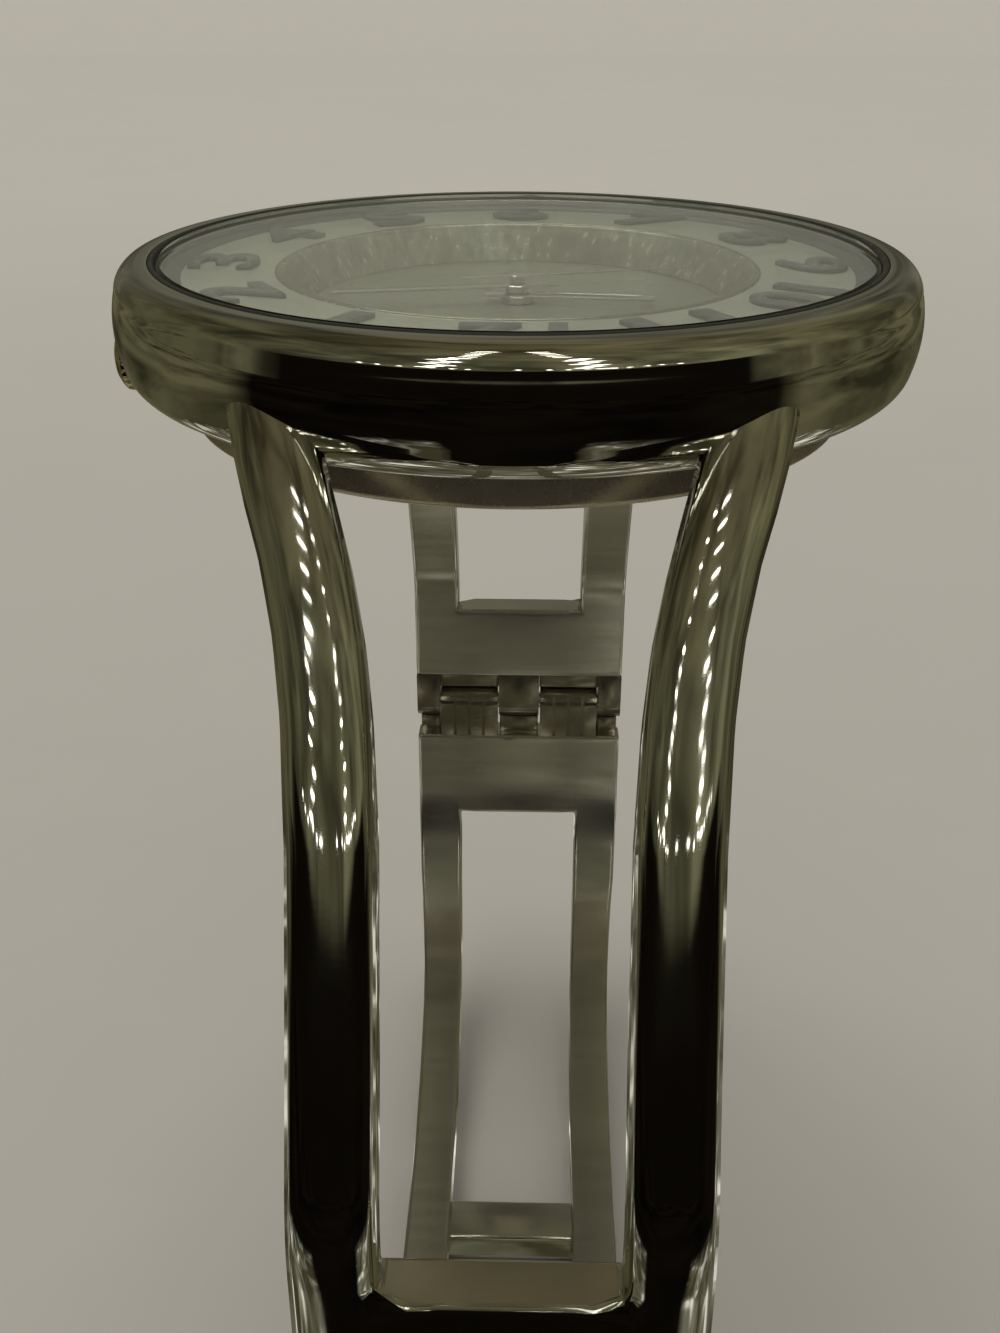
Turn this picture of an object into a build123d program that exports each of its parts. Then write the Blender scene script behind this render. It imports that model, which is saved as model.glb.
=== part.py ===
from build123d import *
import math
import os

os.makedirs("parts", exist_ok=True)

# A wristwatch with a rigid hinged bangle. Millimetres, +Z out of the dial.
# The origin is the middle of the flat underside, straight below the centre of the dial.
# +X points to 3 o'clock, where the crown is, and +Y points to 12 o'clock.
MM = 1.0
DEG = 1.0

# The sizes that drive the rest: height of the crystal's plane, radius of the crystal,
# and half the length and half the width of the bangle.
CRYSTAL_PLANE = 62.5 * MM
CRYSTAL_R = 16.15 * MM
BAND_HALF_Y = 31.27 * MM
BAND_HALF_X = 7.62 * MM

# Everything in the head is given as a depth under the crystal's plane.
# Crystal and its gasket.
CRYSTAL_T = 1.4 * MM
CRYSTAL_BEVEL = 0.15 * MM
GASKET_W = 0.35 * MM
GASKET_PROUD = 0.03 * MM
SEAT_W = 0.2 * MM
SEAT_T = 0.1 * MM
CRYSTAL_SEAT_R = CRYSTAL_R - SEAT_W
CRYSTAL_SEAT_DEPTH = CRYSTAL_T + SEAT_T

# Stepped dial: dark flange, numeral ring, polished wall, sunken floor.
RING_GAP = 0.02 * MM
RING_OUT_R = CRYSTAL_SEAT_R - RING_GAP
FLANGE_W = 0.93 * MM
FLANGE_IN_R = RING_OUT_R - FLANGE_W
FLANGE_TOE = 0.06 * MM
FLANGE_TOP_DEPTH = CRYSTAL_T + SEAT_T / 2
FLANGE_H = 0.5 * MM
RING_TOP_DEPTH = FLANGE_TOP_DEPTH + FLANGE_H
RING_T = 0.4 * MM
DIAL_LEDGE_DEPTH = RING_TOP_DEPTH + RING_T
WELL_TOP_SHARE = 0.65
WELL_TOP_R = CRYSTAL_R * WELL_TOP_SHARE
WELL_RIM = 0.4 * MM
WELL_FLOOR_SHARE = 0.905
WELL_DEEP = 1.61 * MM
WELL_OUT_R = WELL_TOP_R + WELL_RIM
WELL_FLOOR_R = WELL_TOP_R * WELL_FLOOR_SHARE
FLOOR_DEPTH = RING_TOP_DEPTH + WELL_DEEP
FLOOR_T = 0.4 * MM
FLOOR_LAP = 0.3 * MM
DIAL_PLATE_R = WELL_OUT_R + FLOOR_LAP
DIAL_HOLE_R = 0.75 * MM

# Movement: levels as depths, from the dial down, with the play between wheels.
PLAY = 0.08 * MM
PIVOT_PLAY = 0.03 * MM
WHEEL_T = 0.14 * MM
PLATE_T = 0.72 * MM
BRIDGE_T = 0.28 * MM
MOTION_TOP = FLOOR_DEPTH + FLOOR_T
HOUR_WHEEL_LEVEL = MOTION_TOP + PLAY
MINUTE_WHEEL_LEVEL = HOUR_WHEEL_LEVEL + WHEEL_T + PLAY
PLATE_TOP_DEPTH = MINUTE_WHEEL_LEVEL + WHEEL_T + PLAY
PLATE_FOOT_DEPTH = PLATE_TOP_DEPTH + PLATE_T
CENTRE_WHEEL_LEVEL = PLATE_FOOT_DEPTH + PLAY
THIRD_WHEEL_LEVEL = CENTRE_WHEEL_LEVEL + WHEEL_T + PLAY + PIVOT_PLAY
STEP_WHEEL_LEVEL = THIRD_WHEEL_LEVEL + WHEEL_T + PIVOT_PLAY * 2
FOURTH_WHEEL_LEVEL = STEP_WHEEL_LEVEL + WHEEL_T + PLAY
BRIDGE_TOP = FOURTH_WHEEL_LEVEL + WHEEL_T + PLAY
BRIDGE_FOOT = BRIDGE_TOP + BRIDGE_T

# Case: a rounded flank that is widest a little under the bezel and tapers in below.
BACK_T = 0.45 * MM
BACK_ROOM = 0.25 * MM
BACK_RIM = 1.0 * MM
LIP_W = 0.35 * MM
LEDGE_W = 2.55 * MM
BACK_INNER_DEPTH = BRIDGE_FOOT + BACK_ROOM
BACK_DEPTH = BACK_INNER_DEPTH + BACK_T
CASE_FOOT_DEPTH = BACK_INNER_DEPTH - BACK_RIM
CASE_BORE_R = CRYSTAL_R + GASKET_W
LIP_R = CASE_BORE_R + LIP_W
CAVITY_R = CRYSTAL_SEAT_R - LEDGE_W
# Points of the flank: step out from the lip, and share of the case's depth.
FLANK_STEPS = [
    (0.7 * MM, 0.084),
    (1.1 * MM, 0.211),
    (1.23 * MM, 0.454),
    (1.0 * MM, 0.711),
    (0.2 * MM, 0.898),
    (-1.75 * MM, 1.0),
]

# Case back with a snap rim, and its gasket.
SNAP_PLAY = 0.25 * MM
SNAP_W = 0.55 * MM
SNAP_H = 0.33 * MM
BACK_LAP = 1.5 * MM
BACK_BEVEL = 0.2 * MM
GASKET_DROP = 0.05 * MM
GASKET_REST = 0.1 * MM
BACK_R = CAVITY_R + BACK_LAP
SNAP_OUT_R = CAVITY_R - SNAP_PLAY
SNAP_IN_R = SNAP_OUT_R - SNAP_W
SNAP_TOP_DEPTH = CASE_FOOT_DEPTH - SNAP_H
BACK_GASKET_TOP = SNAP_TOP_DEPTH + GASKET_DROP
BACK_GASKET_FOOT = CASE_FOOT_DEPTH - GASKET_REST
PRY_NOTCH = 1.2 * MM
PRY_DEPTH = 0.35 * MM

# Holder ring that centres the movement in the case.
HOLDER_PLAY = 0.1 * MM
MOVEMENT_R = 8.9 * MM
HOLDER_R = CAVITY_R - HOLDER_PLAY
HOLDER_TOP_DEPTH = DIAL_LEDGE_DEPTH
HOLDER_STEP_DEPTH = SNAP_TOP_DEPTH - HOLDER_PLAY
HOLDER_FOOT_R = SNAP_IN_R - HOLDER_PLAY
HOLDER_FOOT_DEPTH = BACK_INNER_DEPTH
HOLDER_BORE_R = MOVEMENT_R + HOLDER_PLAY
HOLDER_SHELF_R = DIAL_PLATE_R + HOLDER_PLAY / 2

# Crown, tube and stem, low on the flank.
STEM_DROP = 0.47 * MM
STEM_DEPTH = PLATE_TOP_DEPTH + STEM_DROP
STEM_R = 0.4 * MM
STEM_IN_X = 4.5 * MM
STEM_PINION_X = 3.9 * MM
STEM_PINION_R = 0.42 * MM
STEM_PINION_TEETH = 10
GROOVE_R = 0.3 * MM
GROOVE_X = (7.25 * MM, 7.5 * MM)
LEVER_HALF = 0.6 * MM
LEVER_UP = 0.3 * MM
LEVER_DOWN = 0.7 * MM
TUBE_R = 0.6 * MM
TUBE_BORE_R = 0.45 * MM
TUBE_IN_X = CAVITY_R + HOLDER_PLAY / 2
CROWN_SINK = 1.35 * MM
CROWN_PLAY = 0.1 * MM
CROWN_R = 1.7 * MM
CROWN_POCKET_R = CROWN_R + CROWN_PLAY * 1.5
CROWN_POCKET_X = LIP_R - CROWN_SINK
CROWN_IN_X = CROWN_POCKET_X + CROWN_PLAY
CROWN_BODY = 2.65 * MM
CROWN_DOME = 0.5 * MM
CROWN_TIP_R = 1.1 * MM
CROWN_BORE_R = 0.8 * MM
CROWN_BORE_L = 1.5 * MM
CROWN_STEM_L = 0.6 * MM
CROWN_RIM_X = CROWN_IN_X + CROWN_BODY
CROWN_TIP_X = CROWN_RIM_X + CROWN_DOME
CROWN_BORE_X = CROWN_IN_X + CROWN_BORE_L
CROWN_STEM_X = CROWN_BORE_X + CROWN_STEM_L
CROWN_FLUTES = 20
FLUTE_R = 0.13 * MM
TUBE_PROUD = 1.45 * MM
TUBE_OUT_X = CROWN_POCKET_X + TUBE_PROUD
ORING_R = 1.0 * MM
ORING_IN = 0.35 * MM
ORING_T = 0.3 * MM
ORING_X = CROWN_IN_X + ORING_IN
ORING_END_X = ORING_X + ORING_T
ORING_BORE_R = TUBE_R + RING_GAP

# Bangle: a band of two rails, drawn as a side outline in Y and Z.
BAND_T = 2.3 * MM
SHOULDER_R = 30.1 * MM
SHOULDER_START = 62 * DEG
LEAN = 23.5 * DEG
SHOULDER_END_DEPTH = 15.6 * MM
LEAN_RUN = 10.9 * MM
LEAN_END_DEPTH = SHOULDER_END_DEPTH + LEAN_RUN
TURN_R = 10.0 * MM
CORNER_R = 17.0 * MM
CORNER_Z = 18.5 * MM
FLAT_CUT = 0.25 * MM
WINDOW_SHARE = 0.58
WINDOW_HALF_X = BAND_HALF_X * WINDOW_SHARE
RAIL_ROUND = 0.7 * MM
RIM_REACH = 0.002 * MM
ACROSS_SHARE = 0.9

# Upper band seen from above: share of the half length, and shares of the half widths of
# the band and of its window there.
ARM_WIDTH_SHARES = [
    (0.351, 1.470, 1.900),
    (0.489, 1.391, 1.652),
    (0.543, 1.325, 1.527),
    (0.591, 1.253, 1.403),
    (0.639, 1.168, 1.283),
    (0.700, 1.083, 1.154),
    (0.754, 1.034, 1.075),
    (0.821, 1.007, 1.018),
]
# Lower band seen from the front: share of the plate's height, and the same two shares.
LOWER_WIDTH_SHARES = [
    (0.952, 1.0, 1.0),
    (0.612, 0.978, 0.986),
    (0.272, 0.919, 0.941),
    (0.0, 0.866, 0.882),
]
PLATE_TOP = 31.5 * MM
PLATE_FOOT = 14.7 * MM
BAR_HALF_Y = 1.5 * MM

# Hinge on the 6 o'clock side.
KNUCKLE_R = 1.15 * MM
PIN_Y = BAND_HALF_Y - KNUCKLE_R
PIN_Z = 23.6 * MM
PIN_R = 0.58 * MM
PIN_PLAY = 0.04 * MM
HINGE_ROOM = 2.5 * MM
HINGE_TOP = PIN_Z + HINGE_ROOM
HINGE_FOOT = PIN_Z - HINGE_ROOM
SIDE_GAP = 0.1 * MM
EAR_W = 1.67 * MM
EAR_IN = BAND_HALF_X - EAR_W
MID_KNUCKLE = 1.5 * MM
SIDE_KNUCKLE = (MID_KNUCKLE + SIDE_GAP, EAR_IN - SIDE_GAP)
HINGE_GROOVES = 3
GROOVE_W = 0.22 * MM
GROOVE_DEEP = 0.28 * MM
STOP_T = 0.34 * MM
STOP_DROP = 1.15 * MM

# Clasp on the 12 o'clock side: a curved tongue, its box and a cross bolt.
PARTING_RISE = 0.05 * MM
PARTING = PIN_Z + PARTING_RISE
PARTING_GAP = 0.1 * MM
TONGUE_SHARE = 0.4725
TONGUE_HALF_X = BAND_HALF_X * TONGUE_SHARE
TONGUE_T = 0.8 * MM
TONGUE_L = 5.05 * MM
TONGUE_PLAY = 0.06 * MM
TONGUE_IN = PIN_Y + BAND_HALF_Y - BAND_T / 2 - TONGUE_T / 2
TONGUE_FOOT = PARTING - TONGUE_L
SOCKET_ROOM = 0.4 * MM
SOCKET_FOOT = TONGUE_FOOT - SOCKET_ROOM
BOLT_TRAVEL = 1.5 * MM
BOLT_RISE = 2.1 * MM
BOLT_Z = TONGUE_FOOT + BOLT_RISE
BOLT_BACK = 0.2 * MM
BOLT_LUG_L = 1.6 * MM
BOLT_STEP = 0.3 * MM
BOLT_LUG = (TONGUE_HALF_X + BOLT_BACK, TONGUE_HALF_X + BOLT_BACK + BOLT_LUG_L)
BOLT_NECK = (BOLT_LUG[0] + BOLT_STEP, BOLT_LUG[1] - BOLT_STEP)
BOLT_LUG_H = 1.2 * MM
BOLT_NECK_H = 0.9 * MM
BOLT_PLAY = 0.06 * MM
BOLT_PAD = (BOLT_LUG[0] - BOLT_BACK, BOLT_LUG[1] + BOLT_STEP + BOLT_BACK)
BOLT_PAD_H = 2.6 * MM
BOLT_PAD_T = 0.45 * MM
BOLT_PAD_POCKET = 0.5 * MM
BOLT_RIBS = 4
BOLT_RIB = 0.2 * MM
BOLT_RIB_H = 2.0 * MM
NOTCH_PLAY = 0.2 * MM
NOTCH_IN = BOLT_LUG[0] - BOLT_TRAVEL - NOTCH_PLAY

# Hands, shown at thirteen minutes past nine, as turns clockwise from 12.
SECOND_TURN = 255 * DEG
MINUTE_TURN = 78 * DEG
HOUR_TURN = 276.5 * DEG
HAND_STEP = 0.4 * MM
HAND_T = 0.12 * MM
SECOND_T = 0.08 * MM
HOUR_HAND_DEPTH = FLOOR_DEPTH - HAND_STEP
MINUTE_HAND_DEPTH = HOUR_HAND_DEPTH - HAND_STEP
SECOND_HAND_DEPTH = MINUTE_HAND_DEPTH - HAND_STEP
# Length, width and tail of each hand as shares of the well's radius.
HOUR_SHARES = (0.6, 0.0953, 0.143)
MINUTE_SHARES = (0.81, 0.0591, 0.181)
SECOND_SHARES = (0.781, 0.0191, 0.248)
HOUR_HAND = [WELL_TOP_R * share for share in HOUR_SHARES]
MINUTE_HAND = [WELL_TOP_R * share for share in MINUTE_SHARES]
SECOND_HAND = [WELL_TOP_R * share for share in SECOND_SHARES]
HOUR_BOSS_R = 0.85 * MM
MINUTE_BOSS_R = 0.62 * MM
SECOND_BOSS_R = 0.4 * MM
HAND_SLOT = 0.4 * MM

# Radii of the movement's plate and of the pipes and arbors on the dial's axis.
RIM_W = 2.3 * MM
RIM_IN_R = MOVEMENT_R - RIM_W
SECOND_ARBOR_R = 0.1 * MM
CANNON_BORE_R = 0.14 * MM
CANNON_R = 0.36 * MM
HOUR_BORE_R = 0.4 * MM
HOUR_PIPE_R = 0.56 * MM
CANNON_HOLE_R = 0.4 * MM
ARBOR_R = 0.14 * MM
PINION_T = 0.2 * MM

# Toothing: tooth counts, modules and centre distances of every pair in mesh.
CANNON_TEETH = 12
MINUTE_WHEEL_TEETH = 36
MINUTE_PINION_TEETH = 10
HOUR_WHEEL_TEETH = 40
MOTION_CENTRES = 2.4 * MM
FOURTH_PINION_TEETH = 8
THIRD_WHEEL_TEETH = 60
THIRD_PINION_TEETH = 8
CENTRE_WHEEL_TEETH = 64
THIRD_CENTRES = 2.55 * MM
STEP_PINION_TEETH = 8
FOURTH_WHEEL_TEETH = 40
STEP_CENTRES = 2.05 * MM
ROTOR_PINION_TEETH = 8
STEP_WHEEL_TEETH = 48
ROTOR_CENTRES = 1.96 * MM
TIP_SHARE = 0.85
ROOT_SHARE = 1.1
TIP_WIDTH_SHARE = 0.22
PITCH_WIDTH_SHARE = 0.45
ROOT_WIDTH_SHARE = 0.6
HALF_TURN = 180 * DEG
FULL_TURN = 360 * DEG
MINUTE_WHEEL_AT = 15 * DEG
THIRD_AT = -60 * DEG
STEP_AT = 100 * DEG
ROTOR_AT = 120 * DEG
ROTOR_MAGNET_R = 0.6 * MM
ROTOR_MAGNET = (PLATE_FOOT_DEPTH + PIVOT_PLAY * 2, STEP_WHEEL_LEVEL - PLAY)

# Electric parts.
BATTERY_R = 2.9 * MM
BATTERY_T = 1.65 * MM
BATTERY_TOP = BRIDGE_FOOT - BATTERY_T
BATTERY_AT = (-3.9 * MM, -3.75 * MM)
COIL_R = 0.72 * MM
COIL_HALF = 2.6 * MM
COIL_AT = (-1.4 * MM, 6.4 * MM)
COIL_DEPTH = PLATE_FOOT_DEPTH + COIL_R + PIVOT_PLAY
CORE_HALF = 3.9 * MM
CORE_W = 0.7 * MM
CORE_T = 0.3 * MM
STATOR_DEPTH = PLATE_FOOT_DEPTH
STATOR_T = 0.3 * MM
STATOR_SPAN = (2.42 * MM, 4.75 * MM)
STATOR_HOLE_R = 0.72 * MM
LEG_W = 1.0 * MM
QUARTZ_R = 0.55 * MM
QUARTZ_L = 3.6 * MM
QUARTZ_AT = (3.4 * MM, 4.7 * MM)
QUARTZ_DEPTH = PLATE_FOOT_DEPTH + QUARTZ_R
BOARD = (3.6 * MM, 2.9 * MM, 0.2 * MM)
BOARD_AT = (4.6 * MM, -4.3 * MM)
BOARD_DEPTH = PLATE_FOOT_DEPTH
CHIP = (1.4 * MM, 1.4 * MM, 0.4 * MM)
STRAP_W = 1.6 * MM
STRAP_T = 0.12 * MM
STRAP_DEPTH = BRIDGE_FOOT
STRAP_L = 5.6 * MM
STRAP_SHIFT = 1.6 * MM
PILLAR_R = 0.55 * MM
COCK_R = 0.9 * MM
PILLARS = [(5.9 * MM, 1.9 * MM), (-6.3 * MM, 2.9 * MM), (1.6 * MM, -6.6 * MM)]
SCREW_R = 0.26 * MM
SCREW_HEAD_R = 0.45 * MM
SCREW_HEAD_T = 0.2 * MM
SCREW_L = 1.0 * MM
SCREW_SLOT = 0.12 * MM
THROUGH = CRYSTAL_PLANE * 0.8
ON_BASE = (Align.CENTER, Align.CENTER, Align.MIN)


def at_depth(depth):
    return CRYSTAL_PLANE - depth


def turned(points):
    """Solid of revolution about the dial's axis from radius and depth pairs."""
    outline = Polyline(*[(r, at_depth(d)) for r, d in points], close=True)
    return revolve(Plane.XZ * make_face(outline), Axis.Z, FULL_TURN)


def disc(radius, top, foot, x=0, y=0):
    height = foot - top
    return Pos(x, y, at_depth(foot)) * Cylinder(radius, height, align=ON_BASE)


def block(x0, x1, y0, y1, z0, z1):
    low = (min(x0, x1), min(y0, y1), min(z0, z1))
    size = (abs(x1 - x0), abs(y1 - y0), abs(z1 - z0))
    return Pos(*low) * Box(*size, align=(Align.MIN, Align.MIN, Align.MIN))


def rod_x(radius, x0, x1, y, z):
    length = abs(x1 - x0)
    return Pos(min(x0, x1), y, z) * Rot(0, 90, 0) * Cylinder(radius, length, align=ON_BASE)


def save(shape, node):
    shape.label = node
    export_step(shape, "parts/" + node + ".step")


def flank_outline(closed_at):
    """Face of the case's half section out to the flank of three arcs."""
    lip = (LIP_R, at_depth(0))
    round_in, brow, widest, waist, tuck, foot = [
        (LIP_R + step, at_depth(share * CASE_FOOT_DEPTH)) for step, share in FLANK_STEPS
    ]
    shoulder = ThreePointArc(lip, round_in, brow)
    flank = ThreePointArc(brow, widest, waist)
    belly = TangentArc(waist, tuck, tangent=flank % 1)
    inside = [(r, at_depth(d)) for r, d in closed_at]
    rest = Polyline(tuck, foot, *inside, lip)
    return make_face(Plane.XZ * Curve([shoulder, flank, belly, rest]))


crown_z = at_depth(STEM_DEPTH)
case_inside = [
    (CAVITY_R, CASE_FOOT_DEPTH),
    (CAVITY_R, DIAL_LEDGE_DEPTH),
    (CRYSTAL_SEAT_R, DIAL_LEDGE_DEPTH),
    (CRYSTAL_SEAT_R, CRYSTAL_SEAT_DEPTH),
    (CASE_BORE_R, CRYSTAL_SEAT_DEPTH),
    (CASE_BORE_R, 0),
]
case_body = revolve(flank_outline(case_inside), Axis.Z, FULL_TURN)
case_body -= rod_x(CROWN_POCKET_R, CROWN_POCKET_X, THROUGH, 0, crown_z)
case_body -= rod_x(TUBE_R, CAVITY_R - BAND_T, CROWN_POCKET_X, 0, crown_z)
save(case_body, "case_body")

# The whole outside of the head, used to end the arms on it.
head_mass = revolve(flank_outline([(0, CASE_FOOT_DEPTH), (0, 0)]), Axis.Z, FULL_TURN)
back_room = disc(BACK_R + RING_GAP, CASE_FOOT_DEPTH, BACK_DEPTH + BAND_T)

crystal = disc(CRYSTAL_R, 0, CRYSTAL_T)
crystal = chamfer(crystal.edges().group_by(Axis.Z)[-1], CRYSTAL_BEVEL)
save(crystal, "crystal")

crystal_gasket = turned([
    (CRYSTAL_R, -GASKET_PROUD),
    (CASE_BORE_R, -GASKET_PROUD),
    (CASE_BORE_R, CRYSTAL_SEAT_DEPTH),
    (CRYSTAL_SEAT_R, CRYSTAL_SEAT_DEPTH),
    (CRYSTAL_SEAT_R, CRYSTAL_T),
    (CRYSTAL_R, CRYSTAL_T),
])
save(crystal_gasket, "crystal_gasket")

flange_ring = turned([
    (RING_OUT_R - FLANGE_TOE, FLANGE_TOP_DEPTH),
    (RING_OUT_R, FLANGE_TOP_DEPTH),
    (RING_OUT_R, RING_TOP_DEPTH),
    (FLANGE_IN_R, RING_TOP_DEPTH),
    (FLANGE_IN_R, RING_TOP_DEPTH - FLANGE_TOE),
])
save(flange_ring, "flange_ring")

dial_ring = turned([
    (WELL_OUT_R, RING_TOP_DEPTH),
    (RING_OUT_R, RING_TOP_DEPTH),
    (RING_OUT_R, DIAL_LEDGE_DEPTH),
    (WELL_OUT_R, DIAL_LEDGE_DEPTH),
])
save(dial_ring, "dial_ring")

well_wall = turned([
    (WELL_TOP_R, RING_TOP_DEPTH),
    (WELL_OUT_R, RING_TOP_DEPTH),
    (WELL_OUT_R, FLOOR_DEPTH),
    (WELL_FLOOR_R, FLOOR_DEPTH),
])
save(well_wall, "well_wall")

dial_floor = disc(DIAL_PLATE_R, FLOOR_DEPTH, FLOOR_DEPTH + FLOOR_T)
dial_floor -= disc(DIAL_HOLE_R, 0, BACK_DEPTH)
save(dial_floor, "dial_floor")

case_back = turned([
    (0, BACK_INNER_DEPTH),
    (SNAP_IN_R, BACK_INNER_DEPTH),
    (SNAP_IN_R, SNAP_TOP_DEPTH),
    (SNAP_OUT_R, SNAP_TOP_DEPTH),
    (SNAP_OUT_R, CASE_FOOT_DEPTH),
    (BACK_R, CASE_FOOT_DEPTH),
    (BACK_R, BACK_DEPTH - BACK_BEVEL),
    (BACK_R - BACK_BEVEL, BACK_DEPTH),
    (0, BACK_DEPTH),
])
case_back -= block(
    -BACK_R,
    PRY_DEPTH - BACK_R,
    -PRY_NOTCH,
    PRY_NOTCH,
    at_depth(CASE_FOOT_DEPTH + PRY_DEPTH),
    at_depth(CASE_FOOT_DEPTH),
)
save(case_back, "case_back")

back_gasket = turned([
    (SNAP_OUT_R, BACK_GASKET_TOP),
    (CAVITY_R, BACK_GASKET_TOP),
    (CAVITY_R, BACK_GASKET_FOOT),
    (SNAP_OUT_R, BACK_GASKET_FOOT),
])
save(back_gasket, "back_gasket")

movement_holder = turned([
    (HOLDER_SHELF_R, HOLDER_TOP_DEPTH),
    (HOLDER_R, HOLDER_TOP_DEPTH),
    (HOLDER_R, HOLDER_STEP_DEPTH),
    (HOLDER_FOOT_R, HOLDER_STEP_DEPTH),
    (HOLDER_FOOT_R, HOLDER_FOOT_DEPTH),
    (HOLDER_BORE_R, HOLDER_FOOT_DEPTH),
    (HOLDER_BORE_R, FLOOR_DEPTH + FLOOR_T),
    (HOLDER_SHELF_R, FLOOR_DEPTH + FLOOR_T),
])
movement_holder -= rod_x(TUBE_R, 0, CAVITY_R, 0, crown_z)
save(movement_holder, "movement_holder")


crown_tube = rod_x(TUBE_R, TUBE_IN_X, TUBE_OUT_X, 0, crown_z)
crown_tube -= rod_x(TUBE_BORE_R, 0, THROUGH, 0, crown_z)
save(crown_tube, "crown_tube")

crown_side = Polyline(
    (CROWN_IN_X, 0),
    (CROWN_IN_X, CROWN_R),
    (CROWN_RIM_X, CROWN_R),
    (CROWN_TIP_X, CROWN_TIP_R),
    (CROWN_TIP_X, 0),
    close=True,
)
crown = revolve(make_face(crown_side), Axis.X, FULL_TURN)
for i in range(CROWN_FLUTES):
    turn = Rot(FULL_TURN / CROWN_FLUTES * i, 0, 0)
    crown -= turn * rod_x(FLUTE_R, CROWN_IN_X, THROUGH, CROWN_R, 0)
crown -= rod_x(CROWN_BORE_R, 0, CROWN_BORE_X, 0, 0)
crown -= rod_x(ORING_R, ORING_X, ORING_END_X, 0, 0)
crown -= rod_x(STEM_R, 0, CROWN_STEM_X, 0, 0)
crown = Pos(0, 0, crown_z) * crown
save(crown, "crown")

crown_seal = rod_x(ORING_R, ORING_X, ORING_END_X, 0, crown_z)
crown_seal -= rod_x(ORING_BORE_R, 0, THROUGH, 0, crown_z)
save(crown_seal, "crown_seal")


def toothed(teeth, centres, partner, phase, width):
    """Wheel or pinion whose pitch radius follows from the pair's centre distance."""
    module = 2 * centres / (teeth + partner)
    pitch = module * teeth / 2
    tip = pitch + module * TIP_SHARE
    root = pitch - module * ROOT_SHARE
    step = 2 * math.pi / teeth
    outline = []
    for k in range(teeth):
        middle = phase + k * step
        for radius, share, side in (
            (root, ROOT_WIDTH_SHARE, -1),
            (pitch, PITCH_WIDTH_SHARE, -1),
            (tip, TIP_WIDTH_SHARE, -1),
            (tip, TIP_WIDTH_SHARE, 1),
            (pitch, PITCH_WIDTH_SHARE, 1),
            (root, ROOT_WIDTH_SHARE, 1),
        ):
            angle = middle + side * share * step / 2
            outline.append((radius * math.cos(angle), radius * math.sin(angle)))
    return extrude(make_face(Polyline(*outline, close=True)), width)


def facing(teeth, direction, gap):
    """Phase that puts a tooth, or with gap a space, in the given direction."""
    half = math.pi / teeth if gap else 0
    return math.radians(direction) + half


def placed(gear, level, thickness, x=0, y=0):
    return Pos(x, y, at_depth(level + thickness)) * gear


def polar(radius, degrees, x=0, y=0):
    a = math.radians(degrees)
    return (x + radius * math.cos(a), y + radius * math.sin(a))


minute_wheel_xy = polar(MOTION_CENTRES, MINUTE_WHEEL_AT)
third_xy = polar(THIRD_CENTRES, THIRD_AT)
step_xy = polar(STEP_CENTRES, STEP_AT)
rotor_xy = polar(ROTOR_CENTRES, ROTOR_AT, *step_xy)

# Winding stem with its pinion, turned and pulled with the crown.
stem = rod_x(STEM_R, STEM_IN_X, CROWN_STEM_X, 0, crown_z)
pinion_l = STEM_IN_X - STEM_PINION_X
stem_pinion = toothed(STEM_PINION_TEETH, STEM_PINION_R * 2, STEM_PINION_TEETH, 0, pinion_l)
stem += Pos(STEM_PINION_X, 0, crown_z) * Rot(0, 90, 0) * stem_pinion
groove_play = GROOVE_X[0] + PIVOT_PLAY, GROOVE_X[1] - PIVOT_PLAY
stem -= rod_x(STEM_R, *GROOVE_X, 0, crown_z) - rod_x(GROOVE_R, *GROOVE_X, 0, crown_z)
save(stem, "winding_stem")

# Setting lever: a fork in the stem's groove that moves in and out with it.
setting_lever = block(*groove_play, -LEVER_HALF, LEVER_HALF, crown_z - LEVER_DOWN, crown_z + LEVER_UP)
setting_lever -= rod_x(GROOVE_R + PIVOT_PLAY, *GROOVE_X, 0, crown_z)
fork_half = GROOVE_R + PIVOT_PLAY
setting_lever -= block(*GROOVE_X, -fork_half, fork_half, crown_z, crown_z + LEVER_UP)
save(setting_lever, "setting_lever")

# Hour wheel: pipe through the dial, wheel in mesh with the minute pinion.
hour_wheel = placed(
    toothed(
        HOUR_WHEEL_TEETH,
        MOTION_CENTRES,
        MINUTE_PINION_TEETH,
        facing(HOUR_WHEEL_TEETH, MINUTE_WHEEL_AT, False),
        WHEEL_T,
    ),
    HOUR_WHEEL_LEVEL,
    WHEEL_T,
)
hour_wheel += disc(HOUR_PIPE_R, HOUR_HAND_DEPTH, HOUR_WHEEL_LEVEL + WHEEL_T)
hour_wheel -= disc(HOUR_BORE_R, 0, BACK_DEPTH)
save(hour_wheel, "hour_wheel")

# Minute wheel and pinion on a post of the main plate.
back_way = MINUTE_WHEEL_AT + HALF_TURN
minute_wheel = placed(
    toothed(
        MINUTE_WHEEL_TEETH,
        MOTION_CENTRES,
        CANNON_TEETH,
        facing(MINUTE_WHEEL_TEETH, back_way, True),
        WHEEL_T,
    ),
    MINUTE_WHEEL_LEVEL,
    WHEEL_T,
    *minute_wheel_xy,
)
minute_pinion_t = MINUTE_WHEEL_LEVEL - HOUR_WHEEL_LEVEL
minute_wheel += placed(
    toothed(
        MINUTE_PINION_TEETH,
        MOTION_CENTRES,
        HOUR_WHEEL_TEETH,
        facing(MINUTE_PINION_TEETH, back_way, True),
        minute_pinion_t,
    ),
    HOUR_WHEEL_LEVEL,
    minute_pinion_t,
    *minute_wheel_xy,
)
minute_wheel -= disc(ARBOR_R + PIVOT_PLAY, MOTION_TOP, BACK_DEPTH, *minute_wheel_xy)
save(minute_wheel, "minute_wheel")

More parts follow.
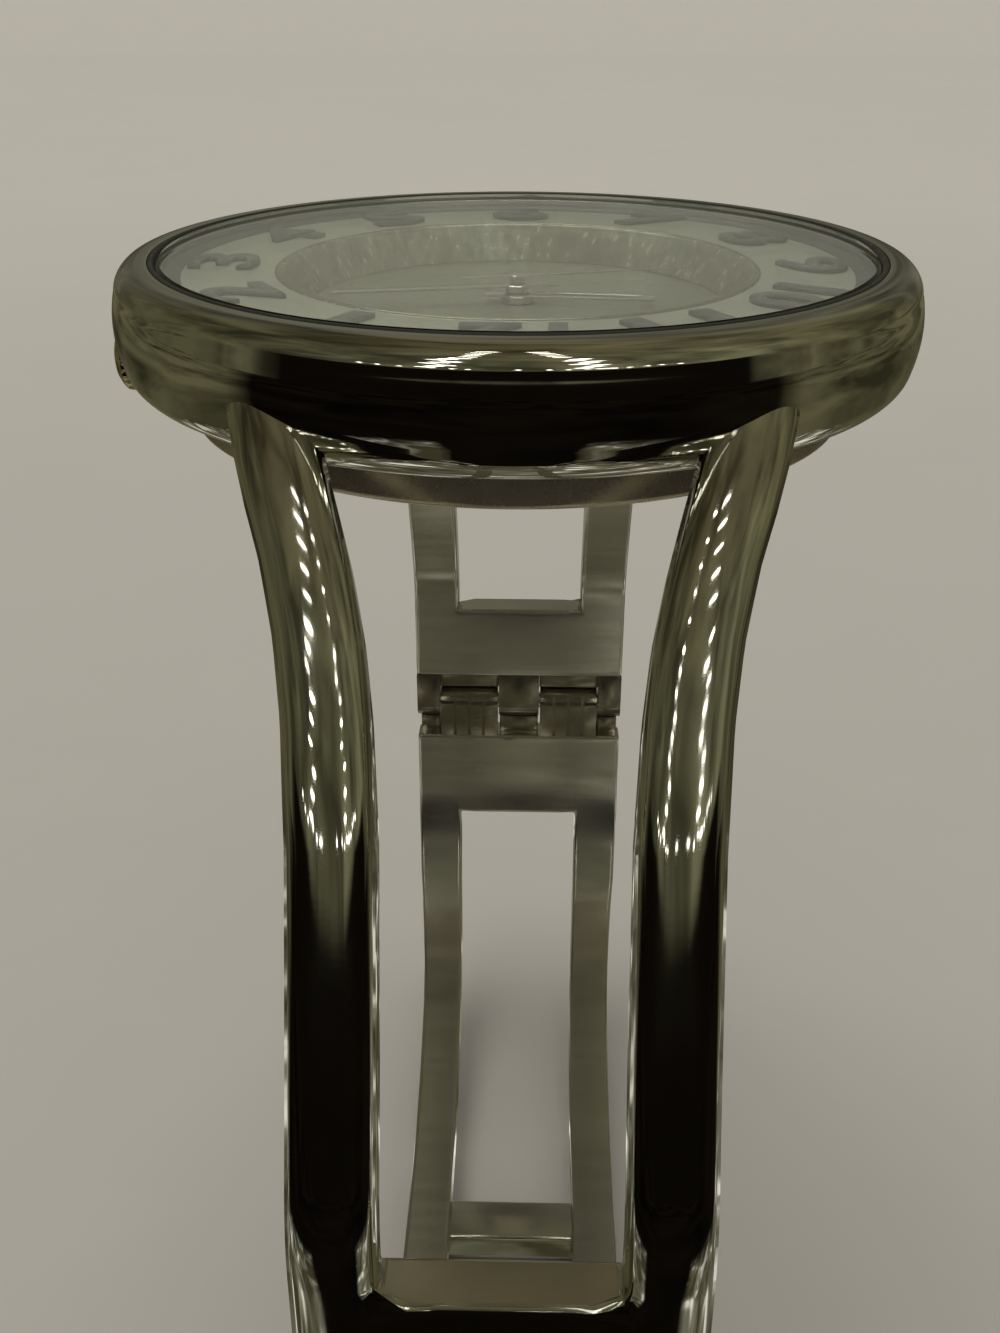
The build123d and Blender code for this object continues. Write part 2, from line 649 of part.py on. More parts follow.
# Centre wheel and cannon pinion: one tube that carries the minute hand.
centre_wheel = placed(
    toothed(
        CENTRE_WHEEL_TEETH,
        THIRD_CENTRES,
        THIRD_PINION_TEETH,
        facing(CENTRE_WHEEL_TEETH, THIRD_AT, False),
        WHEEL_T,
    ),
    CENTRE_WHEEL_LEVEL,
    WHEEL_T,
)
centre_wheel += disc(CANNON_R, MINUTE_HAND_DEPTH, CENTRE_WHEEL_LEVEL + WHEEL_T)
centre_wheel += placed(
    toothed(
        CANNON_TEETH,
        MOTION_CENTRES,
        MINUTE_WHEEL_TEETH,
        facing(CANNON_TEETH, MINUTE_WHEEL_AT, False),
        WHEEL_T,
    ),
    MINUTE_WHEEL_LEVEL,
    WHEEL_T,
)
centre_wheel -= disc(CANNON_BORE_R, 0, BACK_DEPTH)
save(centre_wheel, "centre_wheel")

# Third wheel: slows the fourth wheel down to the centre wheel.
third_back = THIRD_AT + HALF_TURN
third_wheel = placed(
    toothed(
        THIRD_WHEEL_TEETH,
        THIRD_CENTRES,
        FOURTH_PINION_TEETH,
        facing(THIRD_WHEEL_TEETH, third_back, True),
        WHEEL_T,
    ),
    THIRD_WHEEL_LEVEL,
    WHEEL_T,
    *third_xy,
)
third_pinion_t = THIRD_WHEEL_LEVEL - CENTRE_WHEEL_LEVEL
third_wheel += placed(
    toothed(
        THIRD_PINION_TEETH,
        THIRD_CENTRES,
        CENTRE_WHEEL_TEETH,
        facing(THIRD_PINION_TEETH, third_back, True),
        third_pinion_t,
    ),
    CENTRE_WHEEL_LEVEL,
    third_pinion_t,
    *third_xy,
)
third_wheel += disc(ARBOR_R, PLATE_FOOT_DEPTH - PINION_T, BRIDGE_TOP + PINION_T, *third_xy)
save(third_wheel, "third_wheel")

# Fourth wheel: its arbor runs through the cannon and carries the second hand.
fourth_wheel = placed(
    toothed(
        FOURTH_WHEEL_TEETH,
        STEP_CENTRES,
        STEP_PINION_TEETH,
        facing(FOURTH_WHEEL_TEETH, STEP_AT, False),
        WHEEL_T,
    ),
    FOURTH_WHEEL_LEVEL,
    WHEEL_T,
)
fourth_pinion_t = WHEEL_T + PIVOT_PLAY
fourth_wheel += placed(
    toothed(
        FOURTH_PINION_TEETH,
        THIRD_CENTRES,
        THIRD_WHEEL_TEETH,
        facing(FOURTH_PINION_TEETH, THIRD_AT, False),
        fourth_pinion_t,
    ),
    THIRD_WHEEL_LEVEL,
    fourth_pinion_t,
)
fourth_wheel += disc(ARBOR_R, THIRD_WHEEL_LEVEL, FOURTH_WHEEL_LEVEL)
fourth_wheel += disc(SECOND_ARBOR_R, SECOND_HAND_DEPTH, BRIDGE_TOP + PINION_T)
save(fourth_wheel, "fourth_wheel")

# Step wheel between the rotor and the fourth wheel.
step_back = STEP_AT + HALF_TURN
step_wheel = placed(
    toothed(
        STEP_WHEEL_TEETH,
        ROTOR_CENTRES,
        ROTOR_PINION_TEETH,
        facing(STEP_WHEEL_TEETH, ROTOR_AT, False),
        WHEEL_T,
    ),
    STEP_WHEEL_LEVEL,
    WHEEL_T,
    *step_xy,
)
step_pinion_t = FOURTH_WHEEL_LEVEL + WHEEL_T - STEP_WHEEL_LEVEL - WHEEL_T
step_wheel += placed(
    toothed(
        STEP_PINION_TEETH,
        STEP_CENTRES,
        FOURTH_WHEEL_TEETH,
        facing(STEP_PINION_TEETH, step_back, True),
        step_pinion_t,
    ),
    STEP_WHEEL_LEVEL + WHEEL_T,
    step_pinion_t,
    *step_xy,
)
step_wheel += disc(ARBOR_R, PLATE_FOOT_DEPTH - PINION_T, BRIDGE_TOP + PINION_T, *step_xy)
save(step_wheel, "step_wheel")

# Rotor: a two-pole magnet and the pinion that drives the whole train.
rotor = disc(ROTOR_MAGNET_R, *ROTOR_MAGNET, *rotor_xy)
rotor += placed(
    toothed(
        ROTOR_PINION_TEETH,
        ROTOR_CENTRES,
        STEP_WHEEL_TEETH,
        facing(ROTOR_PINION_TEETH, ROTOR_AT + HALF_TURN, True),
        PINION_T,
    ),
    STEP_WHEEL_LEVEL,
    PINION_T,
    *rotor_xy,
)
rotor += disc(ARBOR_R, PLATE_FOOT_DEPTH - PINION_T, BRIDGE_TOP + PINION_T, *rotor_xy)
save(rotor, "rotor")


main_plate = disc(MOVEMENT_R, PLATE_TOP_DEPTH, PLATE_FOOT_DEPTH)
main_plate += disc(MOVEMENT_R, MOTION_TOP, PLATE_TOP_DEPTH) - disc(RIM_IN_R, MOTION_TOP, PLATE_TOP_DEPTH)
main_plate += disc(ARBOR_R, MOTION_TOP, PLATE_TOP_DEPTH, *minute_wheel_xy)
for x, y in PILLARS:
    main_plate += disc(PILLAR_R, PLATE_FOOT_DEPTH, BRIDGE_TOP, x, y)
main_plate -= disc(CANNON_HOLE_R, 0, BACK_DEPTH)
main_plate -= disc(BATTERY_R + PLAY, BATTERY_TOP, BACK_DEPTH, *BATTERY_AT)
main_plate -= block(
    STEM_PINION_X - PLAY,
    THROUGH,
    -TUBE_R,
    TUBE_R,
    at_depth(BRIDGE_TOP),
    at_depth(PLATE_TOP_DEPTH),
)
main_plate -= rod_x(TUBE_R, STEM_PINION_X - PLAY, THROUGH, 0, crown_z)
for place in (third_xy, step_xy, rotor_xy):
    main_plate -= disc(ARBOR_R + PIVOT_PLAY, PLATE_FOOT_DEPTH - PINION_T - PIVOT_PLAY, BACK_DEPTH, *place)
for x, y in PILLARS:
    main_plate -= disc(SCREW_R, BRIDGE_FOOT - SCREW_L, BACK_DEPTH, x, y)
save(main_plate, "main_plate")

# Train bridge: a three-legged plate over the wheels, clear of the battery.
bridge_outline = Polyline(*PILLARS, close=True)
bridge_body = extrude(offset(make_face(bridge_outline), PILLAR_R), BRIDGE_FOOT - BRIDGE_TOP)
train_bridge = Pos(0, 0, at_depth(BRIDGE_FOOT)) * bridge_body
train_bridge += disc(COCK_R, BRIDGE_TOP, BRIDGE_FOOT, *rotor_xy)
train_bridge -= disc(BATTERY_R + PLAY, 0, BACK_DEPTH, *BATTERY_AT)
train_bridge -= disc(SECOND_ARBOR_R + PIVOT_PLAY, 0, BACK_DEPTH)
for place in (third_xy, step_xy, rotor_xy):
    train_bridge -= disc(ARBOR_R + PIVOT_PLAY, 0, BACK_DEPTH, *place)
for x, y in PILLARS:
    train_bridge -= disc(SCREW_R, 0, BACK_DEPTH, x, y)
save(train_bridge, "train_bridge")

for number, (x, y) in enumerate(PILLARS, 1):
    screw = disc(SCREW_R, BRIDGE_FOOT - SCREW_L, BRIDGE_FOOT, x, y)
    screw += disc(SCREW_HEAD_R, BRIDGE_FOOT, BRIDGE_FOOT + SCREW_HEAD_T, x, y)
    screw -= block(
        x - SCREW_HEAD_R,
        x + SCREW_HEAD_R,
        y - SCREW_SLOT / 2,
        y + SCREW_SLOT / 2,
        at_depth(BRIDGE_FOOT + SCREW_HEAD_T),
        at_depth(BRIDGE_FOOT + SCREW_HEAD_T - SCREW_SLOT),
    )
    save(screw, "bridge_screw_" + str(number))

battery = disc(BATTERY_R, BATTERY_TOP, BATTERY_TOP + BATTERY_T, *BATTERY_AT)
save(battery, "battery")

strap_x, strap_y = BATTERY_AT
battery_strap = block(
    strap_x + STRAP_SHIFT - STRAP_L / 2,
    strap_x + STRAP_SHIFT + STRAP_L / 2,
    strap_y - STRAP_W / 2,
    strap_y + STRAP_W / 2,
    at_depth(STRAP_DEPTH + STRAP_T),
    at_depth(STRAP_DEPTH),
)
save(battery_strap, "battery_strap")

# Coil on its core above the stator, whose two legs end round the rotor.
coil_x, coil_y = COIL_AT
coil_z = at_depth(COIL_DEPTH)
coil_core = block(
    coil_x - CORE_HALF,
    coil_x + CORE_HALF,
    coil_y - CORE_W / 2,
    coil_y + CORE_W / 2,
    coil_z - CORE_T / 2,
    coil_z + CORE_T / 2,
)
save(coil_core, "coil_core")
coil = rod_x(COIL_R, coil_x - COIL_HALF, coil_x + COIL_HALF, coil_y, coil_z)
coil -= coil_core
save(coil, "coil")

stator_z = at_depth(STATOR_DEPTH)
rotor_x, rotor_y = rotor_xy
stator = block(
    coil_x - CORE_HALF,
    coil_x + CORE_HALF,
    *STATOR_SPAN,
    stator_z - STATOR_T,
    stator_z,
)
for side in (-1, 1):
    leg_x = coil_x + side * (CORE_HALF - LEG_W / 2)
    stator += block(
        leg_x - LEG_W / 2,
        leg_x + LEG_W / 2,
        rotor_y,
        coil_y + CORE_W / 2,
        stator_z - STATOR_T,
        stator_z,
    )
    stator += block(
        leg_x - LEG_W / 2,
        leg_x + LEG_W / 2,
        coil_y - CORE_W / 2,
        coil_y + CORE_W / 2,
        coil_z + CORE_T / 2,
        stator_z,
    )
stator -= disc(STATOR_HOLE_R, 0, BACK_DEPTH, *rotor_xy)
save(stator, "stator")

quartz_x, quartz_y = QUARTZ_AT
quartz_can = rod_x(QUARTZ_R, quartz_x, quartz_x + QUARTZ_L, quartz_y, at_depth(QUARTZ_DEPTH))
save(quartz_can, "quartz_can")

board_x, board_y = BOARD_AT
circuit_board = block(
    board_x - BOARD[0] / 2,
    board_x + BOARD[0] / 2,
    board_y - BOARD[1] / 2,
    board_y + BOARD[1] / 2,
    at_depth(BOARD_DEPTH + BOARD[2]),
    at_depth(BOARD_DEPTH),
)
save(circuit_board, "circuit_board")
chip = block(
    board_x - CHIP[0] / 2,
    board_x + CHIP[0] / 2,
    board_y - CHIP[1] / 2,
    board_y + CHIP[1] / 2,
    at_depth(BOARD_DEPTH + BOARD[2] + CHIP[2]),
    at_depth(BOARD_DEPTH + BOARD[2]),
)
save(chip, "timing_chip")


def hand(turn, sizes, boss, bore, level, thickness, slot):
    """Hand turned clockwise from 12, with a tail behind the boss."""
    length, width, tail = sizes
    body = block(-width / 2, width / 2, -tail, length, 0, thickness)
    ends = body.edges().filter_by(Axis.Z).group_by(Axis.Y)[-1]
    body = chamfer(ends, width * PITCH_WIDTH_SHARE)
    if slot:
        body -= block(-slot / 2, slot / 2, boss, length - width, 0, thickness)
    body += Cylinder(boss, thickness, align=ON_BASE)
    body -= Cylinder(bore, thickness, align=ON_BASE)
    return Pos(0, 0, at_depth(level + thickness)) * Rot(0, 0, -turn) * body


hour_hand = hand(HOUR_TURN, HOUR_HAND, HOUR_BOSS_R, HOUR_PIPE_R, HOUR_HAND_DEPTH, HAND_T, HAND_SLOT)
save(hour_hand, "hour_hand")
minute_hand = hand(
    MINUTE_TURN, MINUTE_HAND, MINUTE_BOSS_R, CANNON_R, MINUTE_HAND_DEPTH, HAND_T, 0
)
save(minute_hand, "minute_hand")
second_hand = hand(
    SECOND_TURN, SECOND_HAND, SECOND_BOSS_R, SECOND_ARBOR_R, SECOND_HAND_DEPTH, SECOND_T, 0
)
save(second_hand, "second_hand")


def side_outline():
    """Closed outer outline of the band in Y and Z, as one face."""
    lean = math.radians(LEAN)
    end_z = at_depth(SHOULDER_END_DEPTH)
    turn_z = at_depth(LEAN_END_DEPTH)
    upright_y = BAND_HALF_Y
    turn_y = upright_y - TURN_R * (1 - math.cos(lean))
    shoulder_y = turn_y - (end_z - turn_z) * math.tan(lean)
    centre_y = shoulder_y - SHOULDER_R * math.cos(lean)
    centre_z = end_z - SHOULDER_R * math.sin(lean)
    start = math.radians(SHOULDER_START)
    half = (start + lean) / 2
    on_arc = [
        (centre_y + SHOULDER_R * math.cos(a), centre_z + SHOULDER_R * math.sin(a))
        for a in (start, half, lean)
    ]
    upright_z = turn_z - TURN_R * math.sin(lean)
    turn_mid = (
        turn_y + TURN_R * (math.cos(lean / 2) - math.cos(lean)),
        turn_z - TURN_R * (math.sin(lean) - math.sin(lean / 2)),
    )
    corner_y = upright_y - CORNER_R
    drop = CORNER_Z + FLAT_CUT
    bottom_r = (corner_y ** 2 + drop ** 2 - CORNER_R ** 2) / (2 * (drop - CORNER_R))
    bottom_z = bottom_r - FLAT_CUT
    way = math.atan2(CORNER_Z - bottom_z, corner_y)
    meet = (bottom_r * math.cos(way), bottom_z + bottom_r * math.sin(way))
    corner_mid = (
        corner_y + CORNER_R * math.cos(way / 2),
        CORNER_Z + CORNER_R * math.sin(way / 2),
    )
    right = [
        ThreePointArc(*on_arc),
        Line(on_arc[2], (turn_y, turn_z)),
        ThreePointArc((turn_y, turn_z), turn_mid, (upright_y, upright_z)),
        Line((upright_y, upright_z), (upright_y, CORNER_Z)),
        ThreePointArc((upright_y, CORNER_Z), corner_mid, meet),
    ]
    left = [edge.mirror(Plane.YZ) for edge in right]
    base = ThreePointArc(meet, (0, -FLAT_CUT), (-meet[0], meet[1]))
    top = Line(on_arc[0], (-on_arc[0][0], on_arc[0][1]))
    return make_face(Plane.YZ * Curve(right + left + [base, top]))


outline = side_outline()
inner = offset(outline, -BAND_T)
band = extrude(outline - inner, THROUGH / 2, both=True)
band &= block(-THROUGH, THROUGH, -THROUGH, THROUGH, 0, CRYSTAL_PLANE)


def half_strip(points, far, steady_end):
    """Face between a spline and its mirror image, carried straight on past one end."""
    curve = Spline(*points)
    end = points[-1] if steady_end else points[0]
    start = points[0] if steady_end else points[-1]
    carried = Polyline(end, (end[0], far), (-end[0], far), (-end[0], end[1]))
    closing = Line(start, (-start[0], start[1]))
    return make_face(Curve([curve, curve.mirror(Plane.YZ), carried, closing]))


def plan_prism(column, steady):
    """Prism along Z whose half width against Y follows one column of the arm table."""
    points = [(steady * row[column], BAND_HALF_Y * row[0]) for row in ARM_WIDTH_SHARES]
    points.append((steady, BAND_HALF_Y - BAND_T))
    prism = extrude(half_strip(points, THROUGH, True), CRYSTAL_PLANE)
    return prism + prism.mirror(Plane.XZ)


def front_prism(column, steady):
    """Prism along Y whose half width against Z follows one column of the lower table."""
    points = [(steady * row[column], PLATE_FOOT * row[0]) for row in LOWER_WIDTH_SHARES]
    return extrude(Plane.XZ * half_strip(points, THROUGH, False), THROUGH, both=True)


upper = band & plan_prism(1, BAND_HALF_X)
upper -= head_mass
upper -= back_room
above_plate = block(-THROUGH, THROUGH, -THROUGH, THROUGH, PLATE_TOP, CRYSTAL_PLANE)
arm_window = plan_prism(2, WINDOW_HALF_X) & above_plate
pin_line = (-PIN_Y, PIN_Z)


def about_pin(radius):
    return rod_x(radius, -THROUGH, THROUGH, *pin_line)


def tongue(play, foot):
    """Blade curved about the hinge pin, so that it leaves its box along its own arc."""
    shell = about_pin(TONGUE_IN + TONGUE_T + play) - about_pin(TONGUE_IN - play)
    half = TONGUE_HALF_X + play
    return shell & block(-half, half, 0, THROUGH, foot, PARTING + BAND_T)


def bolt_block(span, height, y0, y1, play, travel):
    """Block of the cross bolt or of the room that it slides in."""
    x0, x1 = span
    return block(
        x0 - travel - play,
        x1 + play,
        y0 - play,
        y1 + play,
        BOLT_Z - height / 2 - play,
        BOLT_Z + height / 2 + play,
    )


blade_in = TONGUE_IN - PIN_Y
blade_out = blade_in + TONGUE_T
wall_y = BAND_HALF_Y
pad_floor = wall_y - BOLT_PAD_POCKET

def rounded(strip):
    """The strip with the long edges of its outer face rounded, at its sides and window."""
    rim = outline.faces()[0].outer_wire()
    edges = []
    for edge in strip.edges():
        middle = edge.position_at(0.5)
        on_rim = rim.distance_to(Vector(0, middle.Y, middle.Z)) < RIM_REACH
        if on_rim and abs(edge.tangent_at(0.5).X) < ACROSS_SHARE:
            edges.append(edge)
    return fillet(edges, RAIL_ROUND)


arm_twelve = upper & block(-THROUGH, THROUGH, 0, THROUGH, PARTING + PARTING_GAP / 2, CRYSTAL_PLANE)
arm_twelve = rounded(arm_twelve - arm_window)
arm_twelve -= tongue(0, TONGUE_FOOT)
save(arm_twelve, "arm_twelve")

notch = block(
    NOTCH_IN,
    TONGUE_HALF_X,
    0,
    THROUGH,
    BOLT_Z - BOLT_LUG_H / 2 - NOTCH_PLAY,
    BOLT_Z + BOLT_LUG_H / 2 + NOTCH_PLAY,
)
save(tongue(0, TONGUE_FOOT) - notch, "clasp_tongue")


def knuckle(x0, x1, towards, bore):
    """One hinge finger: barrel round the pin and a web to the plate it grows from."""
    y, z = pin_line
    body = rod_x(KNUCKLE_R, x0, x1, y, z)
    body += block(x0, x1, y - KNUCKLE_R, y + KNUCKLE_R, z, towards)
    return body - rod_x(bore, x0, x1, y, z)


arm_six = upper & block(-THROUGH, THROUGH, -THROUGH, 0, HINGE_TOP, CRYSTAL_PLANE)
arm_six = rounded(arm_six - arm_window)
for side in (-1, 1):
    arm_six += knuckle(side * EAR_IN, side * BAND_HALF_X, HINGE_TOP, PIN_R)
arm_six += knuckle(-MID_KNUCKLE, MID_KNUCKLE, HINGE_TOP, PIN_R)
save(arm_six, "arm_six")

hinge_pin = rod_x(PIN_R, -BAND_HALF_X, BAND_HALF_X, *pin_line)
save(hinge_pin, "hinge_pin")

lower = band & front_prism(1, BAND_HALF_X)
lower -= block(-THROUGH, THROUGH, 0, THROUGH, PARTING - PARTING_GAP / 2, THROUGH * 2)
lower -= block(-THROUGH, THROUGH, -THROUGH, 0, HINGE_FOOT, THROUGH * 2)
below_plate = block(-THROUGH, THROUGH, -THROUGH, THROUGH, 0, PLATE_FOOT)
lower = rounded(lower - (front_prism(2, WINDOW_HALF_X) & below_plate))
for side in (-1, 1):
    near, far = SIDE_KNUCKLE
    lower += knuckle(side * near, side * far, HINGE_FOOT, PIN_R + PIN_PLAY)
    for i in range(HINGE_GROOVES):
        groove_x = near + (far - near) * (i + 1) / (HINGE_GROOVES + 1)
        lower -= block(
            side * groove_x - GROOVE_W / 2,
            side * groove_x + GROOVE_W / 2,
            KNUCKLE_R - GROOVE_DEEP - PIN_Y,
            KNUCKLE_R - PIN_Y,
            HINGE_FOOT,
            PIN_Z + KNUCKLE_R,
        )
    lower += block(
        side * EAR_IN,
        side * (BAND_HALF_X - RAIL_ROUND),
        -BAND_HALF_Y,
        STOP_T - BAND_HALF_Y,
        HINGE_FOOT,
        PIN_Z - STOP_DROP,
    )
lower -= tongue(TONGUE_PLAY, SOCKET_FOOT)
lower -= bolt_block(BOLT_LUG, BOLT_LUG_H, blade_in, blade_out, BOLT_PLAY, BOLT_TRAVEL)
lower -= bolt_block(BOLT_NECK, BOLT_NECK_H, blade_in, THROUGH, BOLT_PLAY, BOLT_TRAVEL)
lower -= bolt_block(BOLT_PAD, BOLT_PAD_H, pad_floor, THROUGH, BOLT_PLAY, BOLT_TRAVEL)
save(lower, "lower_frame")

clasp_bolt = bolt_block(BOLT_LUG, BOLT_LUG_H, blade_in, blade_out, 0, 0)
clasp_bolt += bolt_block(BOLT_NECK, BOLT_NECK_H, blade_in, pad_floor + BOLT_PLAY, 0, 0)
clasp_bolt += bolt_block(BOLT_PAD, BOLT_PAD_H, pad_floor, pad_floor + BOLT_PAD_T, 0, 0)
rib_step = (BOLT_PAD[1] - BOLT_PAD[0]) / (BOLT_RIBS + 1)
for rib in range(BOLT_RIBS):
    rib_x = BOLT_PAD[0] + rib_step * (rib + 1)
    rib_span = (rib_x - BOLT_RIB / 2, rib_x + BOLT_RIB / 2)
    rib_foot = pad_floor + BOLT_PAD_T
    clasp_bolt += bolt_block(rib_span, BOLT_RIB_H, rib_foot, rib_foot + BOLT_RIB, 0, 0)
save(clasp_bolt, "clasp_bolt")

bottom_bar = band & block(-WINDOW_HALF_X, WINDOW_HALF_X, -BAR_HALF_Y, BAR_HALF_Y, 0, CORNER_R)
bottom_bar &= front_prism(2, WINDOW_HALF_X)
save(bottom_bar, "bottom_bar")
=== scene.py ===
# %% [markdown]
# # A bangle watch in Blender
#
# This lesson dresses the measured model of a bangle watch: a round steel case between two
# open arms, which close under the wrist. The measured solids are loaded as a fixed frame.
# Polished steel shows every facet, so each outer piece is modelled again here as a smooth
# mesh in the same place, and the wheels inside keep their solids and get finishes.

import math

import bmesh
import bpy
from mathutils import Matrix, Vector


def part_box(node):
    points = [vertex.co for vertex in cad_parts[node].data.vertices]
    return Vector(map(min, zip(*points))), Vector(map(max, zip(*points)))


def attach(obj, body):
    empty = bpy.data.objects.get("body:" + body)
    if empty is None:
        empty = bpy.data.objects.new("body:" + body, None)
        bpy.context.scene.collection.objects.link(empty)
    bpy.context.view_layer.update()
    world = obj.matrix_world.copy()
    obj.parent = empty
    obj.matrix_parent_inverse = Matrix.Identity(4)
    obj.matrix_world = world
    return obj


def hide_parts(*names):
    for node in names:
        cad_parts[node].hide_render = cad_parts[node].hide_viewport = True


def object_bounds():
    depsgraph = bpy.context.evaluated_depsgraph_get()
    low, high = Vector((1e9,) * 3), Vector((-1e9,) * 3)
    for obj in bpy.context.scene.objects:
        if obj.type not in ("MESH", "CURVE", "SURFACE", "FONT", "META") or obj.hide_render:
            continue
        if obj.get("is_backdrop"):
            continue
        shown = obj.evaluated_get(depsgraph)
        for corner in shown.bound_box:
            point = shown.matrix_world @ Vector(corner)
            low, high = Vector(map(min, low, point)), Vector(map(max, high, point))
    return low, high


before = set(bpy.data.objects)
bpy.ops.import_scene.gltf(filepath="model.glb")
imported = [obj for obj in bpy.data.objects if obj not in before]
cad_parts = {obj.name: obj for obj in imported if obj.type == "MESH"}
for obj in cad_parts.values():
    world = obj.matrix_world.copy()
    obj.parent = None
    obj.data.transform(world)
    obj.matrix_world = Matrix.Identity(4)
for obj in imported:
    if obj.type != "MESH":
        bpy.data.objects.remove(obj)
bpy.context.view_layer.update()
MM = 0.001
DEG = math.pi / 180

# %% [markdown]
# ## Hand tools
#
# An operator works on everything that is selected, and the frame arrives selected. These
# small helpers start each piece with a clean selection and pick vertices by their place,
# which is what a hand does with the mouse.


# %% Selection helpers
def fresh():
    """Leave edit mode and select nothing."""
    if bpy.context.object and bpy.context.object.mode != "OBJECT":
        bpy.ops.object.mode_set(mode="OBJECT")
    bpy.ops.object.select_all(action="DESELECT")


def begin(name):
    """Name the new primitive and open it in edit mode."""
    piece = bpy.context.object
    piece.name = name
    piece.data.name = name
    bpy.ops.object.mode_set(mode="EDIT")
    bpy.ops.mesh.select_mode(type="VERT")
    return piece


def take(piece, test):
    """Select the vertices, edges or faces whose vertices all pass a test of place."""
    mesh = bmesh.from_edit_mesh(piece.data)
    for part in (mesh.faces, mesh.edges):
        for item in part:
            item.select = False
    for vertex in mesh.verts:
        vertex.select = bool(test(vertex.co))
    mesh.select_flush(True)
    bmesh.update_edit_mesh(piece.data)
    return sum(vertex.select for vertex in mesh.verts)


def close_mesh(piece, merge=0.001 * MM):
    """Merge doubles, turn the faces outwards and leave edit mode."""
    bpy.ops.mesh.select_all(action="SELECT")
    bpy.ops.mesh.remove_doubles(threshold=merge)
    bpy.ops.mesh.normals_make_consistent(inside=False)
    bpy.ops.object.mode_set(mode="OBJECT")
    return piece


def only(piece):
    """Make one piece the selected and active one."""
    fresh()
    piece.select_set(True)
    bpy.context.view_layer.objects.active = piece


def modify(piece, kind, **settings):
    """Add a modifier, set it and apply it."""
    only(piece)
    modifier = piece.modifiers.new(kind.title(), kind)
    for key, value in settings.items():
        setattr(modifier, key, value)
    bpy.ops.object.modifier_apply(modifier=modifier.name)
    return piece


def smooth(piece, angle=35):
    """Shade smooth, with edges sharper than the angle left crisp."""
    only(piece)
    bpy.ops.object.shade_smooth_by_angle(angle=angle * DEG)
    return piece


# %% [markdown]
# ## Turning round parts
#
# Nearly everything on a watch head is turned on a lathe. The same is done here: a circle
# is the first cut, and it is extruded and resized ring by ring along the profile. Many
# narrow rings where the profile bends keep the polish free of steps.


# %% Lathe helper
def turned(name, rings, axis="Z", centre=(0, 0, 0), around=256):
    """Turn a profile of (radius, place along the axis) in mm; radius 0 closes a pole."""
    fresh()
    rings = [(r * MM, h * MM) for r, h in rings]
    centre = Vector(centre) * MM
    along = Vector((0, 0, 1)) if axis == "Z" else Vector((1, 0, 0))
    open_start = rings[0][0] == 0
    body = rings[1:] if open_start else rings
    radius, height = body[0]
    bpy.ops.mesh.primitive_circle_add(vertices=around, radius=radius, location=(0, 0, 0))
    piece = begin(name)
    bpy.ops.mesh.select_all(action="SELECT")
    if axis == "X":
        bpy.ops.transform.rotate(value=math.pi / 2, orient_axis="Y", center_override=(0, 0, 0))
    bpy.ops.transform.translate(value=centre + along * height)
    for new_radius, new_height in body[1:]:
        step = along * (new_height - height)
        bpy.ops.mesh.extrude_edges_move(TRANSFORM_OT_translate={"value": step})
        at = centre + along * new_height
        if new_radius == 0:
            bpy.ops.mesh.merge(type="CENTER")
        elif abs(new_radius - radius) > 1e-9:
            ratio = new_radius / radius
            size = (ratio, ratio, 1) if axis == "Z" else (1, ratio, ratio)
            bpy.ops.transform.resize(value=size, center_override=at)
        radius, height = new_radius, new_height
    if open_start:
        first, rim = along * body[0][1] + centre, body[0][0]
        take(
            piece,
            lambda co: abs((co - first).dot(along)) < 1e-7 and abs((co - first).length - rim) < 2e-6,
        )
        bpy.ops.mesh.extrude_edges_move(
            TRANSFORM_OT_translate={"value": along * (rings[0][1] - rings[1][1])}
        )
        bpy.ops.mesh.merge(type="CENTER")
    return close_mesh(piece)


def arc(a, b, c, steps):
    """Points of the circle through three profile points, from a to c."""
    (ax, ay), (bx, by), (cx, cy) = a, b, c
    d = 2 * (ax * (by - cy) + bx * (cy - ay) + cx * (ay - by))
    aa, bb, cc = ax**2 + ay**2, bx**2 + by**2, cx**2 + cy**2
    ux = (aa * (by - cy) + bb * (cy - ay) + cc * (ay - by)) / d
    uy = (aa * (cx - bx) + bb * (ax - cx) + cc * (bx - ax)) / d
    radius = math.hypot(ax - ux, ay - uy)
    first = math.atan2(ay - uy, ax - ux)
    mid = math.atan2(by - uy, bx - ux)
    last = math.atan2(cy - uy, cx - ux)
    turn = (last - first + math.pi) % (2 * math.pi) - math.pi
    part = (mid - first + math.pi) % (2 * math.pi) - math.pi
    if turn * part < 0:
        turn -= math.copysign(2 * math.pi, turn)
    ways = [first + turn * i / steps for i in range(steps + 1)]
    return [(ux + radius * math.cos(way), uy + radius * math.sin(way)) for way in ways]


def eased(points, radius, steps=4):
    """The same profile with its inner corners rounded to a small radius."""
    out = [points[0]]
    for before, corner, after in zip(points, points[1:], points[2:]):
        p, q, r = Vector(before), Vector(corner), Vector(after)
        to_p, to_r = (p - q), (r - q)
        reach = min(radius, to_p.length * 0.45, to_r.length * 0.45)
        start, end = q + to_p.normalized() * reach, q + to_r.normalized() * reach
        for i in range(steps + 1):
            t = i / steps
            point = start * (1 - t) ** 2 + q * 2 * t * (1 - t) + end * t**2
            out.append((point.x, point.y))
    out.append(points[-1])
    return out


PLANE = 62.5


def below(profile):
    """A profile of (radius, depth under the crystal's plane) as heights."""
    return [(r, PLANE - depth) for r, depth in profile]


print("profile tools ready; the crystal lies at", PLANE, "mm")

# %% [markdown]
# ## Camera
#
# The camera is close to the 12 o'clock side, a little above the plane of the dial, so
# the case comes out wide and flat and the arms run away below it. Its place was worked
# out from the ellipses of the crystal and of the well.

